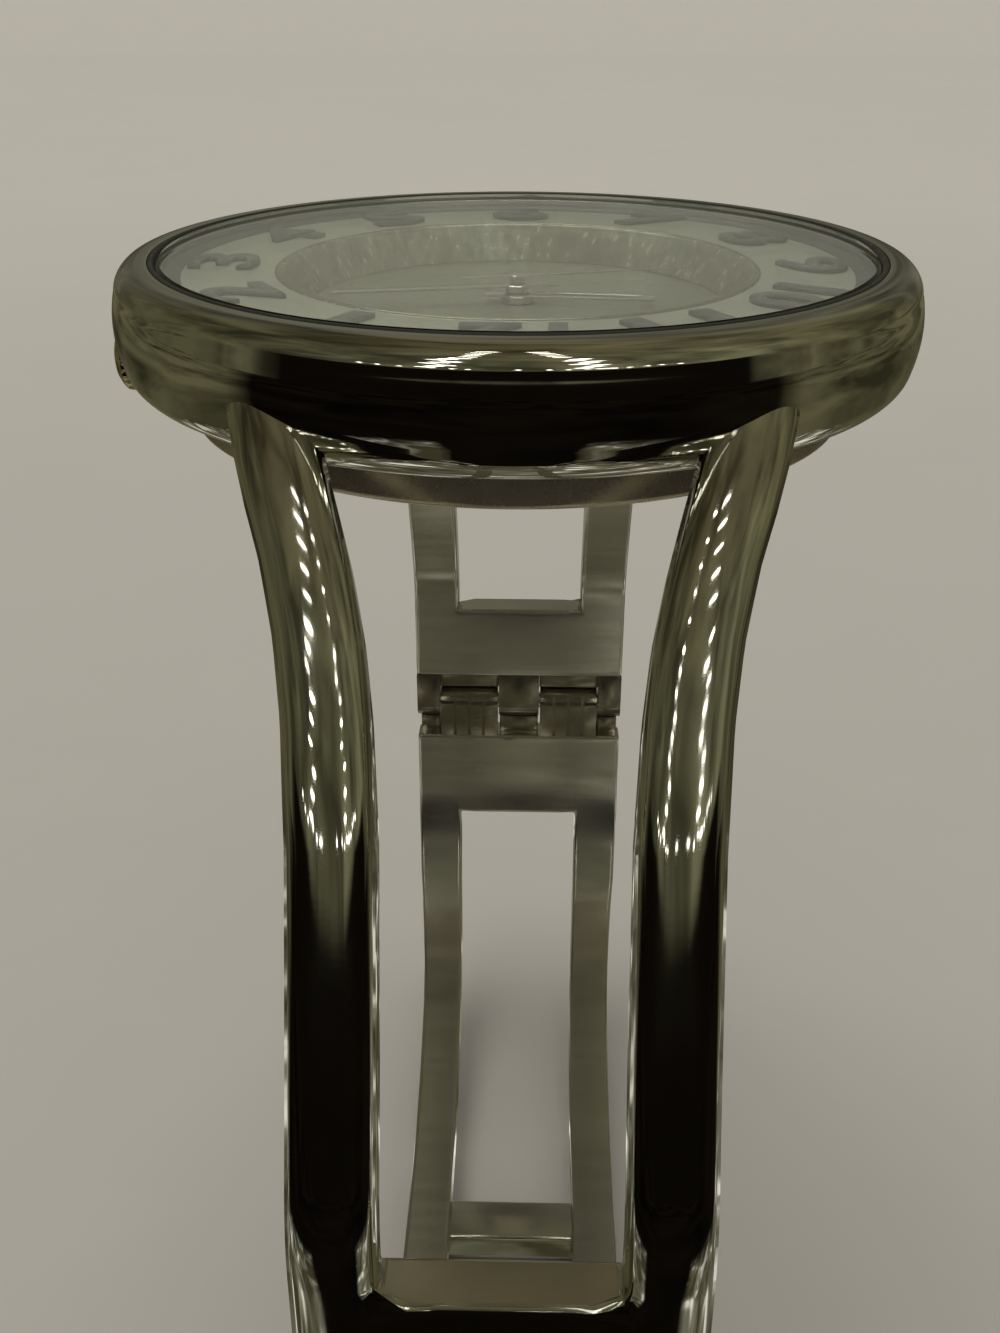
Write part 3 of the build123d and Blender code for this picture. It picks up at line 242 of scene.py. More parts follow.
# %% Camera
CAMERA_AT = Vector((-0.76, 66.95, 74.64)) * MM
PITCH = 26.43 * DEG
YAW = 1.3 * DEG
ROLL = 0.1 * DEG
LENS = 39.06
LOOK = Vector((math.sin(YAW) * math.cos(PITCH), -math.cos(YAW) * math.cos(PITCH), -math.sin(PITCH)))

camera_data = bpy.data.cameras.new("camera")
camera = bpy.data.objects.new("camera", camera_data)
bpy.context.scene.collection.objects.link(camera)
camera_data.lens = LENS
camera_data.sensor_width = 36.0
camera_data.clip_start = 0.002
camera_data.clip_end = 20.0
turn = LOOK.to_track_quat("-Z", "Y").to_matrix().to_4x4()
camera.matrix_world = Matrix.Translation(CAMERA_AT) @ turn @ Matrix.Rotation(ROLL, 4, "Z")
bpy.context.scene.camera = camera
print("camera at", [round(v / MM, 1) for v in CAMERA_AT])

# %% [markdown]
# ## Finishes
#
# Each finish is a node material. Polished steel is nearly a mirror, and what makes it look
# real is small: haze where it was wiped, and hair scratches that only show in a highlight.
# Both come from noise on Object coordinates, scaled to millimetres.


# %% Material helpers
# In every helper below, g is the node tree of the finish being made.
def new_material(name):
    material = bpy.data.materials.new(name)
    material.use_nodes = True
    g = material.node_tree
    return material, g, g.nodes["Principled BSDF"]


def place_node(g, scale=(1, 1, 1)):
    """Object coordinates through a Mapping node."""
    where = g.nodes.new("ShaderNodeTexCoord")
    mapping = g.nodes.new("ShaderNodeMapping")
    mapping.inputs["Scale"].default_value = scale
    g.links.new(where.outputs["Object"], mapping.inputs["Vector"])
    return mapping.outputs["Vector"]


def noise_node(g, vector, scale, detail=3.0, distortion=0.0):
    noise = g.nodes.new("ShaderNodeTexNoise")
    noise.inputs["Scale"].default_value = scale
    noise.inputs["Detail"].default_value = detail
    noise.inputs["Distortion"].default_value = distortion
    g.links.new(vector, noise.inputs["Vector"])
    return noise.outputs["Fac"]


def range_node(g, value, low, high, from_low=0.3, from_high=0.7):
    change = g.nodes.new("ShaderNodeMapRange")
    change.inputs["From Min"].default_value = from_low
    change.inputs["From Max"].default_value = from_high
    change.inputs["To Min"].default_value = low
    change.inputs["To Max"].default_value = high
    g.links.new(value, change.inputs["Value"])
    return change.outputs["Result"]


def ramp_node(g, value, stops):
    ramp = g.nodes.new("ShaderNodeValToRGB")
    ramp.color_ramp.elements[0].position = stops[0][0]
    ramp.color_ramp.elements[0].color = (*stops[0][1], 1)
    ramp.color_ramp.elements[1].position = stops[-1][0]
    ramp.color_ramp.elements[1].color = (*stops[-1][1], 1)
    for position, colour in stops[1:-1]:
        element = ramp.color_ramp.elements.new(position)
        element.color = (*colour, 1)
    g.links.new(value, ramp.inputs["Fac"])
    return ramp.outputs["Color"]


def math_node(g, kind, *values):
    node = g.nodes.new("ShaderNodeMath")
    node.operation = kind
    for socket, value in zip(node.inputs, values):
        if isinstance(value, (int, float)):
            socket.default_value = value
        else:
            g.links.new(value, socket)
    return node.outputs[0]


def toned(g, colour, amount):
    """A colour made brighter or dimmer by a number."""
    scale = g.nodes.new("ShaderNodeVectorMath")
    scale.operation = "SCALE"
    g.links.new(colour, scale.inputs[0])
    g.links.new(amount, scale.inputs["Scale"])
    return scale.outputs[0]


def bump_node(g, height, strength, distance):
    bump = g.nodes.new("ShaderNodeBump")
    bump.inputs["Strength"].default_value = strength
    bump.inputs["Distance"].default_value = distance
    g.links.new(height, bump.inputs["Height"])
    return bump.outputs["Normal"]


def polished(name, tint, haze=(0.03, 0.10), scratch=0.12):
    """Polished metal: patches of haze and crossing hair scratches."""
    material, g, shader = new_material(name)
    shader.inputs["Metallic"].default_value = 1.0
    plain = place_node(g)
    patches = noise_node(g, plain, 140, 4, 0.6)
    fine = noise_node(g, plain, 2600, 2)
    low = tuple(v * 0.93 for v in tint)
    g.links.new(ramp_node(g, patches, [(0.35, low), (0.65, tint)]), shader.inputs["Base Color"])
    g.links.new(range_node(g, patches, *haze), shader.inputs["Roughness"])
    hair_one = noise_node(g, place_node(g, (0.06, 1, 1)), 5200, 1)
    hair_two = noise_node(g, place_node(g, (1, 0.08, 0.05)), 4300, 1)
    crossing = math_node(g, "MULTIPLY", hair_one, hair_two)
    relief = math_node(g, "ADD", crossing, fine)
    g.links.new(bump_node(g, relief, scratch, 0.004 * MM), shader.inputs["Normal"])
    return material


def satin(name, tint, rough=(0.28, 0.42), grain=900, depth=0.02, metallic=1.0, stretch=(1, 1, 1)):
    """Satin or cast surface: even grain, a little colour drift, soft sheen."""
    material, g, shader = new_material(name)
    shader.inputs["Metallic"].default_value = metallic
    plain = place_node(g, stretch)
    drift = noise_node(g, plain, grain * 0.16, 3)
    fine = noise_node(g, plain, grain, 4)
    low = tuple(v * 0.86 for v in tint)
    g.links.new(ramp_node(g, drift, [(0.3, low), (0.7, tint)]), shader.inputs["Base Color"])
    g.links.new(range_node(g, fine, *rough), shader.inputs["Roughness"])
    g.links.new(bump_node(g, fine, 0.25, depth * MM), shader.inputs["Normal"])
    return material


# %% Finishes
FINISH = {}


def add_finishes(make, recipes):
    for name, recipe in recipes.items():
        FINISH[name] = make(name, *recipe)


# tint, range of roughness, depth of the hair scratches
POLISHED = {
    "case_steel": ((0.74, 0.725, 0.68), (0.02, 0.07), 0.08),
    "band_steel": ((0.72, 0.71, 0.66), (0.03, 0.10), 0.10),
    "pin_steel": ((0.66, 0.65, 0.61), (0.08, 0.20), 0.15),
    "hand_steel": ((0.62, 0.62, 0.60), (0.05, 0.14), 0.10),
    "gilt_steel": ((0.70, 0.60, 0.40), (0.04, 0.12), 0.12),
}
# tint, range of roughness, grain, its depth in mm, metal or not, stretch of the grain
SATIN = {
    "back_steel": ((0.58, 0.52, 0.39), (0.20, 0.28), 9000, 0.0008, 0.85),
    "band_satin": ((0.60, 0.585, 0.51), (0.15, 0.22), 9000, 0.0008, 0.95, (0.1, 1, 1)),
    # hinge knuckles: the band's steel made darker, as painted shade of the recess they sit in
    "knuckle_steel": ((0.30, 0.28, 0.21), (0.14, 0.22), 9000, 0.0008, 0.95),
    "gasket_black": ((0.030, 0.029, 0.024), (0.35, 0.55), 1800, 0.01, 0.0),
    "seal_black": ((0.02, 0.02, 0.02), (0.5, 0.7), 1200, 0.01, 0.0),
    "plate_brass": ((0.72, 0.55, 0.28), (0.25, 0.40), 1400, 0.006),
    "wheel_brass": ((0.80, 0.62, 0.30), (0.20, 0.34), 1800, 0.004),
    "steel_grey": ((0.50, 0.50, 0.49), (0.22, 0.38), 1500, 0.005),
    "holder_white": ((0.72, 0.71, 0.66), (0.45, 0.60), 700, 0.012, 0.0),
    "copper": ((0.80, 0.38, 0.20), (0.22, 0.36), 2600, 0.012, 1.0, (0.2, 1, 1)),
    "board_green": ((0.04, 0.20, 0.09), (0.30, 0.45), 900, 0.008, 0.0),
    "chip_black": ((0.02, 0.02, 0.022), (0.40, 0.55), 2200, 0.008, 0.0),
}
add_finishes(polished, POLISHED)
add_finishes(satin, SATIN)
print("finishes:", len(FINISH))


# %% [markdown]
# ### Dial finishes
#
# The numeral ring is a pale, faintly green silver with a very fine grain. Its numerals are slate grey;
# the sloping steel ring outside them is painted near-black, a painted shade. The well is polished and a
# little hazy.

# %% Dial finishes
DIAL_SATIN = {
    "dial_silver": ((0.33, 0.325, 0.25), (0.40, 0.55), 3200, 0.004, 0.0),
    "slate_print": ((0.050, 0.053, 0.052), (0.35, 0.50), 2400, 0.006, 0.0),
    # the sloping steel ring: its near-black colour is painted shade, not the steel's own colour
    "flange_dark": ((0.024, 0.026, 0.025), (0.30, 0.42), 1600, 0.004, 0.0),
    "floor_silver": ((0.205, 0.20, 0.147), (0.30, 0.45), 2600, 0.004, 0.15),
}
add_finishes(satin, DIAL_SATIN)
add_finishes(polished, {"rim_dark": ((0.30, 0.29, 0.23), (0.06, 0.14), 0.08)})


def streaked(name, dark, light):
    """Turned wall: fine lathe lines in its roughness and relief, and bright and dim painted reflection
    streaks down its colour.
    """
    material, g, shader = new_material(name)
    shader.inputs["Metallic"].default_value = 0.6
    lines = noise_node(g, place_node(g, (1, 1, 0.02)), 2900, 3)
    wide = noise_node(g, place_node(g, (1, 1, 0.1)), 120, 2)
    # the bright and dim lines in the colour are painted reflections of lamps in the polished wall
    painted_streaks = math_node(g, "MULTIPLY", lines, wide)
    middle = tuple((a + b) / 2 for a, b in zip(dark, light))
    colour = ramp_node(g, painted_streaks, [(0.20, dark), (0.29, middle), (0.36, light)])
    g.links.new(colour, shader.inputs["Base Color"])
    g.links.new(range_node(g, lines, 0.12, 0.30), shader.inputs["Roughness"])
    g.links.new(bump_node(g, lines, 0.3, 0.006 * MM), shader.inputs["Normal"])
    return material


# dark and light of the painted reflection streaks on the well wall
add_finishes(streaked, {"well_polished": ((0.25, 0.245, 0.18), (0.46, 0.455, 0.37))})


def crystal_material(name):
    """Clear mineral glass that lets the lamps through to the dial."""
    material, g, shader = new_material(name)
    shader.inputs["Base Color"].default_value = (0.93, 0.96, 0.93, 1)
    shader.inputs["Transmission Weight"].default_value = 1.0
    shader.inputs["IOR"].default_value = 1.5
    smudge = noise_node(g, place_node(g), 220, 3, 0.8)
    g.links.new(range_node(g, smudge, 0.0, 0.03, 0.45, 0.75), shader.inputs["Roughness"])
    path = g.nodes.new("ShaderNodeLightPath").outputs
    either = math_node(g, "MAXIMUM", path["Is Shadow Ray"], path["Is Diffuse Ray"])
    clear = g.nodes.new("ShaderNodeBsdfTransparent")
    clear.inputs["Color"].default_value = (0.93, 0.96, 0.93, 1)
    mix = g.nodes.new("ShaderNodeMixShader")
    g.links.new(either, mix.inputs["Fac"])
    g.links.new(shader.outputs[0], mix.inputs[1])
    g.links.new(clear.outputs[0], mix.inputs[2])
    g.links.new(mix.outputs[0], g.nodes["Material Output"].inputs["Surface"])
    return material


add_finishes(crystal_material, {"crystal_glass": ()})
print("all finishes:", sorted(FINISH))


# %% [markdown]
# ## Hanging a piece in the frame
#
# A finished piece gets its finish, rides on the body that carries it, and takes the place
# of the solid that it redraws.


# %% Hang helper
def hang(piece, body, slot, *nodes, finish=None):
    piece.data.materials.clear()
    piece.data.materials.append(FINISH[finish or slot])
    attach(piece, body)
    if nodes:
        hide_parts(*nodes)
    print(piece.name, len(piece.data.polygons), "faces")
    return piece


# %% [markdown]
# ## Case
#
# The case is one turned bowl of steel. Its flank is full and widest just under the lip,
# then draws in to the back. Inside are the seat of the crystal, the ledge of the dial and
# the room for the movement. The profile is drawn once, outside and inside, and turned.

# %% Case body
CROWN_Z = 57.55
POCKET_R, POCKET_DEEP, POCKET_X = 1.85, 3.6, 17.3
flank = (
    arc((16.85, 0.0), (17.58, 0.36), (17.9, 1.1), 14)
    + arc((17.9, 1.1), (18.08, 2.59), (17.85, 4.05), 14)[1:]
    + arc((17.85, 4.05), (17.6, 4.66), (17.05, 5.12), 10)[1:]
)
outer = [(16.46, 0.0)] + flank + [(16.4, 5.34), (15.3, 5.66), (15.1, 5.7)]
inside = [(13.4, 5.7), (13.4, 2.4), (13.6, 2.37), (15.93, 2.37), (15.93, 1.51)]
inside += [(16.5, 1.51), (16.5, 0.4), (16.39, 0.1)]
profile = [(16.4, 0.02)] + outer + inside + [(16.4, 0.02)]
case = turned("case_shell", below(profile), around=288)
fresh()
bpy.ops.mesh.primitive_cylinder_add(
    vertices=72,
    radius=POCKET_R * MM,
    depth=POCKET_DEEP * MM,
    location=(POCKET_X * MM, 0, CROWN_Z * MM),
    rotation=(0, math.pi / 2, 0),
)
cutter = bpy.context.object
modify(case, "BOOLEAN", object=cutter, operation="DIFFERENCE", solver="EXACT")
bpy.data.objects.remove(cutter)
smooth(case, 40)
hang(case, "head", "case_steel", "case_body")

# %% [markdown]
# ## Crystal and gasket
#
# The crystal is a flat disc of glass with a small polished bevel. A thin black gasket holds
# it, and lies a hair proud: it is the fine dark line round the glass.

# %% Crystal
glass_profile = [(0, 0.0), (3.0, 0.0), (15.9, 0.0), (16.1, 0.12), (16.12, 0.2)]
glass_profile += [(16.12, 1.4), (3.0, 1.4), (0, 1.4)]
crystal = smooth(turned("crystal_disc", below(glass_profile)), 20)
hang(crystal, "head", "crystal_glass", "crystal")

# %% Gasket
gasket_profile = [(16.14, 0.02), (16.18, -0.015), (16.25, -0.03), (16.32, -0.015), (16.37, 0.04)]
gasket_profile += [(16.37, 0.4), (16.48, 0.5), (16.48, 1.44), (16.14, 1.44), (16.14, 0.02)]
gasket = smooth(turned("gasket_ring", below(gasket_profile)), 50)
hang(gasket, "head", "gasket_black", "crystal_gasket")

# %% [markdown]
# ## Dial
#
# Under the glass comes a slate ring that slopes down to a flat, pale ring of hours. In its
# middle the dial drops into a round well with a polished wall, and the hands turn in it.

# %% Flange and hour ring
RING_TOP = 1.95
slope = [(15.9, RING_TOP), (15.9, 1.47), (15.78, 1.46), (15.05, 1.90), (15.02, RING_TOP)]
slope += [(15.9, RING_TOP)]
flange = smooth(turned("flange_slope", below(eased(slope, 0.05))), 40)
hang(flange, "head", "flange_dark", "flange_ring")

plate = [(10.92, 2.35), (10.92, RING_TOP), (15.9, RING_TOP), (15.9, 2.35), (10.92, 2.35)]
hour_ring = smooth(turned("hour_ring", below(eased(plate, 0.03))), 40)
hang(hour_ring, "head", "dial_silver", "dial_ring")

# %% Well wall and floor
wall = [(10.88, 3.54), (10.88, 1.96), (10.84, 1.92), (10.7, 1.90), (10.56, 1.92), (10.5, 1.98)]
wall += [(9.52, 3.50), (9.5, 3.54), (10.88, 3.54)]
well = smooth(turned("well_cone", below(wall)), 40)
hang(well, "head", "well_polished", "well_wall")

rim = [(10.86, 1.93), (10.84, 1.88), (10.76, 1.86), (10.68, 1.88), (10.66, 1.93), (10.86, 1.93)]
well_rim = smooth(turned("well_rim", below(rim)), 60)
hang(well_rim, "head", "well_polished", finish="rim_dark")

base = [(0.76, 3.57), (11.18, 3.57), (11.18, 3.95), (0.76, 3.95), (0.76, 3.57)]
well_floor = smooth(turned("well_floor", below(base), around=192), 40)
hang(well_floor, "head", "dial_silver", "dial_floor", finish="floor_silver")

# %% [markdown]
# ## Hour numbers
#
# The twelve plain numbers are broad and heavy and are set with their tops outwards. They are
# separate blocks glued to the ring: seen at so flat an angle, their height is what makes
# them read. Each is a text turned into a mesh, moved to its hour and drawn up.

# %% Hour numbers
NUMBER_IN = 11.72
NUMBER_HIGH = 3.2
NUMBER_RAISED = 0.18
NUMBER_GAP = 0.004
TWO_WIDE, ONE_WIDE, DIGIT_WIDE = 4.15, 1.0, 2.95
numbers = []
for hour in range(1, 13):
    fresh()
    bpy.ops.object.text_add(location=(0, 0, 0))
    text = bpy.context.object
    text.data.body = str(hour)
    text.data.align_x = "CENTER"
    text.data.size = 1.0
    text.data.offset = 0.018 if hour in (3, 9) else 0.026  # heavier breaks the fill of 3 and 9
    text.data.resolution_u = 6
    text.data.space_character = 1.05
    bpy.ops.object.convert(target="MESH")
    word = bpy.context.object
    xs = [v.co.x for v in word.data.vertices]
    ys = [v.co.y for v in word.data.vertices]
    wide = TWO_WIDE if hour > 9 else ONE_WIDE if hour == 1 else DIGIT_WIDE
    grow_x = wide / (max(xs) - min(xs))
    grow_y = NUMBER_HIGH / (max(ys) - min(ys))
    middle = (max(xs) + min(xs)) / 2
    away = hour * 30 * DEG
    place = (
        Matrix.Translation((0, 0, (PLANE - RING_TOP + NUMBER_GAP) * MM))
        @ Matrix.Rotation(-away, 4, "Z")
        @ Matrix.Translation((0, NUMBER_IN * MM, 0))
        @ Matrix.Diagonal((grow_x * MM, grow_y * MM, MM, 1))
        @ Matrix.Translation((-middle, -min(ys), 0))
    )
    word.data.transform(place)
    numbers.append(word)
fresh()
for word in numbers:
    word.select_set(True)
bpy.context.view_layer.objects.active = numbers[0]
bpy.ops.object.join()
hours = begin("hour_numbers")
bpy.ops.mesh.select_all(action="SELECT")
bpy.ops.mesh.remove_doubles(threshold=0.0005 * MM)
bpy.ops.mesh.extrude_region_move(TRANSFORM_OT_translate={"value": (0, 0, NUMBER_RAISED * MM)})
bpy.ops.mesh.select_all(action="SELECT")
bpy.ops.mesh.normals_make_consistent(inside=False)
bpy.ops.object.mode_set(mode="OBJECT")
hang(hours, "head", "flange_dark", finish="slate_print")

# %% [markdown]
# ## Hands
#
# The minute hand is a slim bar, the hour hand is an open outline, and the second hand is a
# needle. Each starts as a flat plane that points to 12, is cut and tapered, gets its
# thickness, and is then turned clockwise to its hour about the middle of the dial.


# %% Hand helper
def hand(name, turn_deg, width, length, tail, tip, top, thick, boss, pipe, slot=None):
    """A tapered bar with a boss and a pipe below it; slot is (start, end, rim) of an open middle."""
    fresh()
    bpy.ops.mesh.primitive_plane_add(size=2 * MM, location=(0, 0, 0))
    piece = begin(name)
    take(piece, lambda co: co.y > 0)
    bpy.ops.transform.translate(value=(0, (length - 1) * MM, 0))
    take(piece, lambda co: co.y < 0)
    bpy.ops.transform.translate(value=(0, (1 - tail) * MM, 0))
    bpy.ops.mesh.select_all(action="SELECT")
    bpy.ops.transform.resize(value=(width / 2, 1, 1), center_override=(0, 0, 0))
    take(piece, lambda co: co.y > length * MM * 0.9)
    bpy.ops.transform.resize(value=(tip, 1, 1), center_override=(0, length * MM, 0))
    if slot:
        start, end, rim = slot
        for cut in (start, end):
            bpy.ops.mesh.select_all(action="SELECT")
            bpy.ops.mesh.bisect(plane_co=(0, cut * MM, 0), plane_no=(0, 1, 0))
        take(piece, lambda co: start * MM - 1e-7 < co.y < end * MM + 1e-7)
        bpy.ops.mesh.inset(thickness=rim * MM)
        bpy.ops.mesh.delete(type="FACE")
    bpy.ops.mesh.select_all(action="SELECT")
    bpy.ops.mesh.extrude_region_move(TRANSFORM_OT_translate={"value": (0, 0, -thick * MM)})
    bpy.ops.mesh.select_all(action="SELECT")
    bpy.ops.mesh.normals_make_consistent(inside=False)
    bpy.ops.object.mode_set(mode="OBJECT")
    modify(piece, "BEVEL", width=min(0.04, thick * 0.4) * MM, segments=2, limit_method="ANGLE")
    lift = Matrix.Translation((0, 0, (PLANE - top) * MM))
    piece.data.transform(lift @ Matrix.Rotation(-turn_deg * DEG, 4, "Z"))
    hub_rings = [(0, top - 0.05), (boss * 0.5, top - 0.05), (boss * 0.86, top - 0.03)]
    hub_rings += [(boss, top + 0.03), (boss, top + thick + 0.02), (boss * 0.9, top + thick + 0.04)]
    hub_rings += [(boss * 0.9, pipe), (0, pipe)]
    hub = smooth(turned(name + "_boss", below(hub_rings), around=64), 35)
    only(piece)
    hub.select_set(True)
    bpy.ops.object.join()
    return smooth(piece, 35)


# %% Three hands
hour_hand = hand(
    "hour_bar",
    turn_deg=276.5,
    width=1.0,
    length=6.3,
    tail=1.5,
    tip=0.92,
    top=3.16,
    thick=0.12,
    boss=0.85,
    pipe=3.52,
    slot=(1.3, 5.9, 0.22),
)
hang(hour_hand, "hours", "hand_steel", "hour_hand")
minute_hand = hand(
    "minute_bar",
    turn_deg=78,
    width=0.62,
    length=8.5,
    tail=1.9,
    tip=0.75,
    top=2.76,
    thick=0.12,
    boss=0.62,
    pipe=3.08,
)
hang(minute_hand, "minutes", "hand_steel", "minute_hand")
second_hand = hand(
    "second_needle",
    turn_deg=255,
    width=0.2,
    length=8.2,
    tail=2.6,
    tip=0.6,
    top=2.36,
    thick=0.08,
    boss=0.4,
    pipe=2.68,
)
hang(second_hand, "seconds", "hand_steel", "second_hand")

# %% [markdown]
# ## Case back
#
# The back is a shallow lid that snaps in under the flank. From outside it is the satin band
# between the rails and a flat disc towards the wrist.

# %% Case back
lid = eased([(14.5, 5.72), (14.9, 5.74), (14.9, 6.97), (14.68, 7.15), (6.0, 7.15)], 0.14) + [(0, 7.15)]
lid = [(0, 6.72), (12.5, 6.72), (12.6, 5.72)] + lid
back = smooth(turned("back_lid", below(lid), around=192), 35)
hang(back, "head", "back_steel", "case_back")

# %% [markdown]
# ## Crown
#
# The crown sits low on the flank, half sunk in it. It is turned about its own axis, with a
# domed end, and its edge is fluted for grip: of every eight rows of points, three are
# drawn in.

# %% Crown
crown_profile = [(0, 15.62), (1.45, 15.62), (1.6, 15.66), (1.69, 15.78), (1.69, 18.05), (1.66, 18.2)]
crown_profile += [(1.5, 18.36), (1.2, 18.56), (0.75, 18.7), (0.35, 18.74), (0, 18.75)]
crown = turned("crown_knob", crown_profile, axis="X", centre=(0, 0, CROWN_Z), around=160)
only(crown)
bpy.ops.object.mode_set(mode="EDIT")
crown_axis = Vector((0, 0, CROWN_Z * MM))
FLUTES = 20
FLUTE_X = (15.7, 18.1)
FLUTE_REACH, FLUTE_DRAW = 0.16, 0.93


def in_flute(co):
    if not FLUTE_X[0] * MM < co.x < FLUTE_X[1] * MM:
        return False
    part = math.atan2(co.y, co.z - crown_axis.z) / (2 * math.pi) * FLUTES
    return abs(part - round(part)) < FLUTE_REACH


print("flute points:", take(crown, in_flute))
bpy.ops.transform.resize(value=(1, FLUTE_DRAW, FLUTE_DRAW), center_override=crown_axis)
bpy.ops.object.mode_set(mode="OBJECT")
smooth(crown, 60)
hang(crown, "crown_set", "gilt_steel", "crown")

# %% [markdown]
# ## Band
#
# The band is one strip of steel bent round the wrist, with long windows that leave two
# rails. It starts here as a flat grid: each row of the grid is carried to its place on the
# side curve and stretched to the width it has there. Then the window faces go, the strip
# is mirrored and gets its thickness, the rails are crowned, and the edges are rounded.

# %% Side curve
HALF_Y = 31.27
HALF_X = 7.62
WINDOW_X = 4.42
SHOULDER_Y, SHOULDER_Z, SHOULDER_R = -1.902, 34.898, 30.1
SHOULDER_START, LEAN = 58, 23.5
BEND_TOP_Y, BEND_TOP_Z, BEND_Z, BEND_R = 30.441, 36.0, 32.01, 10
CORNER_Z, CORNER_R = 18.5, 17
BOTTOM_Z, BOTTOM_R = 75.8, 76.05
# heights at which the arms and the lower half end, at the clasp and at the hinge
ARM_END_CLASP, ARM_END_HINGE = 23.7, 26.1
HALF_END_CLASP, HALF_END_HINGE = 23.6, 21.1


def upper_curve(stop):
    """Stations (y, z) of the outside from under the case down to a height."""
    points = []
    for i in range(27):
        a = (SHOULDER_START - (SHOULDER_START - LEAN) * i / 26) * DEG
        points.append((SHOULDER_Y + SHOULDER_R * math.cos(a), SHOULDER_Z + SHOULDER_R * math.sin(a)))
    y, z = points[-1]
    for i in range(1, 9):
        points.append((y + (BEND_TOP_Y - y) * i / 8, z + (BEND_TOP_Z - z) * i / 8))
    for i in range(1, 9):
        a = LEAN * DEG * (1 - i / 8)
        points.append((HALF_Y - BEND_R + BEND_R * math.cos(a), BEND_Z + BEND_R * math.sin(a)))
    return points + [(HALF_Y, z) for z in (31.5, 31.0, 30.2, 28.5, 26.8, stop + 0.6, stop)]


def lower_curve(stop):
    """Stations of one half of the lower band, from its parting to the middle."""
    points = [(HALF_Y, z) for z in (stop, stop - 0.6, 20.0, CORNER_Z)]
    way = math.atan2(CORNER_Z - BOTTOM_Z, HALF_Y - CORNER_R)
    for i in range(1, 21):
        a = way * i / 20
        points.append((HALF_Y - CORNER_R + CORNER_R * math.cos(a), CORNER_Z + CORNER_R * math.sin(a)))
    y = points[-1][0]
    for i in range(1, 9):
        x = y * (1 - i / 8)
        points.append((x, max(0.0, BOTTOM_Z - math.sqrt(BOTTOM_R**2 - x**2))))
    return points


def width_at(chart, at, column):
    """Width from a chart at a share of the length."""
    if at <= chart[0][0]:
        return chart[0][column]
    if at >= chart[-1][0]:
        return chart[-1][column]
    for row, following in zip(chart, chart[1:]):
        if at <= following[0]:
            t = (at - row[0]) / (following[0] - row[0])
            return row[column] * (1 - t) + following[column] * t


ARM_WIDTHS = [
    (0.351, 1.470, 1.900),
    (0.489, 1.391, 1.652),
    (0.543, 1.325, 1.527),
    (0.591, 1.253, 1.403),
    (0.639, 1.168, 1.283),
    (0.700, 1.083, 1.154),
    (0.754, 1.034, 1.075),
    (0.821, 1.007, 1.018),
    (0.926, 1.0, 1.0),
]
LOWER_WINDOW_Z = 14.7
LOWER_WIDTHS = [(0.0, 0.866, 0.882), (0.272, 0.919, 0.941), (0.612, 0.978, 0.986), (0.952, 1.0, 1.0)]


def arm_widths(y, z):
    share = abs(y) / HALF_Y
    return HALF_X * width_at(ARM_WIDTHS, share, 1), WINDOW_X * width_at(ARM_WIDTHS, share, 2)


def lower_widths(y, z):
    share = z / LOWER_WINDOW_Z
    return HALF_X * width_at(LOWER_WIDTHS, share, 1), WINDOW_X * width_at(LOWER_WIDTHS, share, 2)


print("stations:", len(upper_curve(ARM_END_HINGE)), "and", len(lower_curve(HALF_END_HINGE)))

# %% Band strip helper
PLATE_STEPS = 4
RAIL_STEPS = 12
BAND_THICK = 2.3
CROWN_HIGH = 0.62
EDGE = 0.3
WRIST_Z = 30  # height of the middle of the bangle, from which outwards is told


def strip(name, stations, widths):
    """Half a band as a grid: rows follow the stations, columns the widths."""
    fresh()
    rows = len(stations) - 1
    columns = PLATE_STEPS + RAIL_STEPS
    bpy.ops.mesh.primitive_grid_add(
        x_subdivisions=columns, y_subdivisions=rows, size=1, location=(0, 0, 0)
    )
    piece = begin(name)
    mesh = bmesh.from_edit_mesh(piece.data)
    grid = {}
    for vertex in mesh.verts:
        grid[round((vertex.co.x + 0.5) * columns), round((vertex.co.y + 0.5) * rows)] = vertex.index
    for row, (y, z) in enumerate(stations):
        outer_x, inner_x = widths(y, z)
        start = -0.5 + row / rows
        pick_row(piece, [grid[c, row] for c in range(columns + 1)])
        bpy.ops.transform.translate(value=(0.5, y * MM - start, z * MM))
        pick_row(piece, [grid[c, row] for c in range(PLATE_STEPS + 1)])
        bpy.ops.transform.resize(
            value=(inner_x * MM * columns / PLATE_STEPS, 1, 1), center_override=(0, 0, 0)
        )
        pick_row(piece, [grid[c, row] for c in range(PLATE_STEPS + 1, columns + 1)])
        bpy.ops.transform.translate(value=(inner_x * MM - PLATE_STEPS / columns, 0, 0))
        bpy.ops.transform.resize(
            value=((outer_x - inner_x) * MM * columns / RAIL_STEPS, 1, 1),
            center_override=(inner_x * MM, 0, 0),
        )
    return piece, grid


def pick_row(piece, indices):
    mesh = bmesh.from_edit_mesh(piece.data)
    mesh.verts.ensure_lookup_table()
    for vertex in mesh.verts:
        vertex.select = False
    for index in indices:
        mesh.verts[index].select = True
    mesh.select_flush_mode()
    bmesh.update_edit_mesh(piece.data)


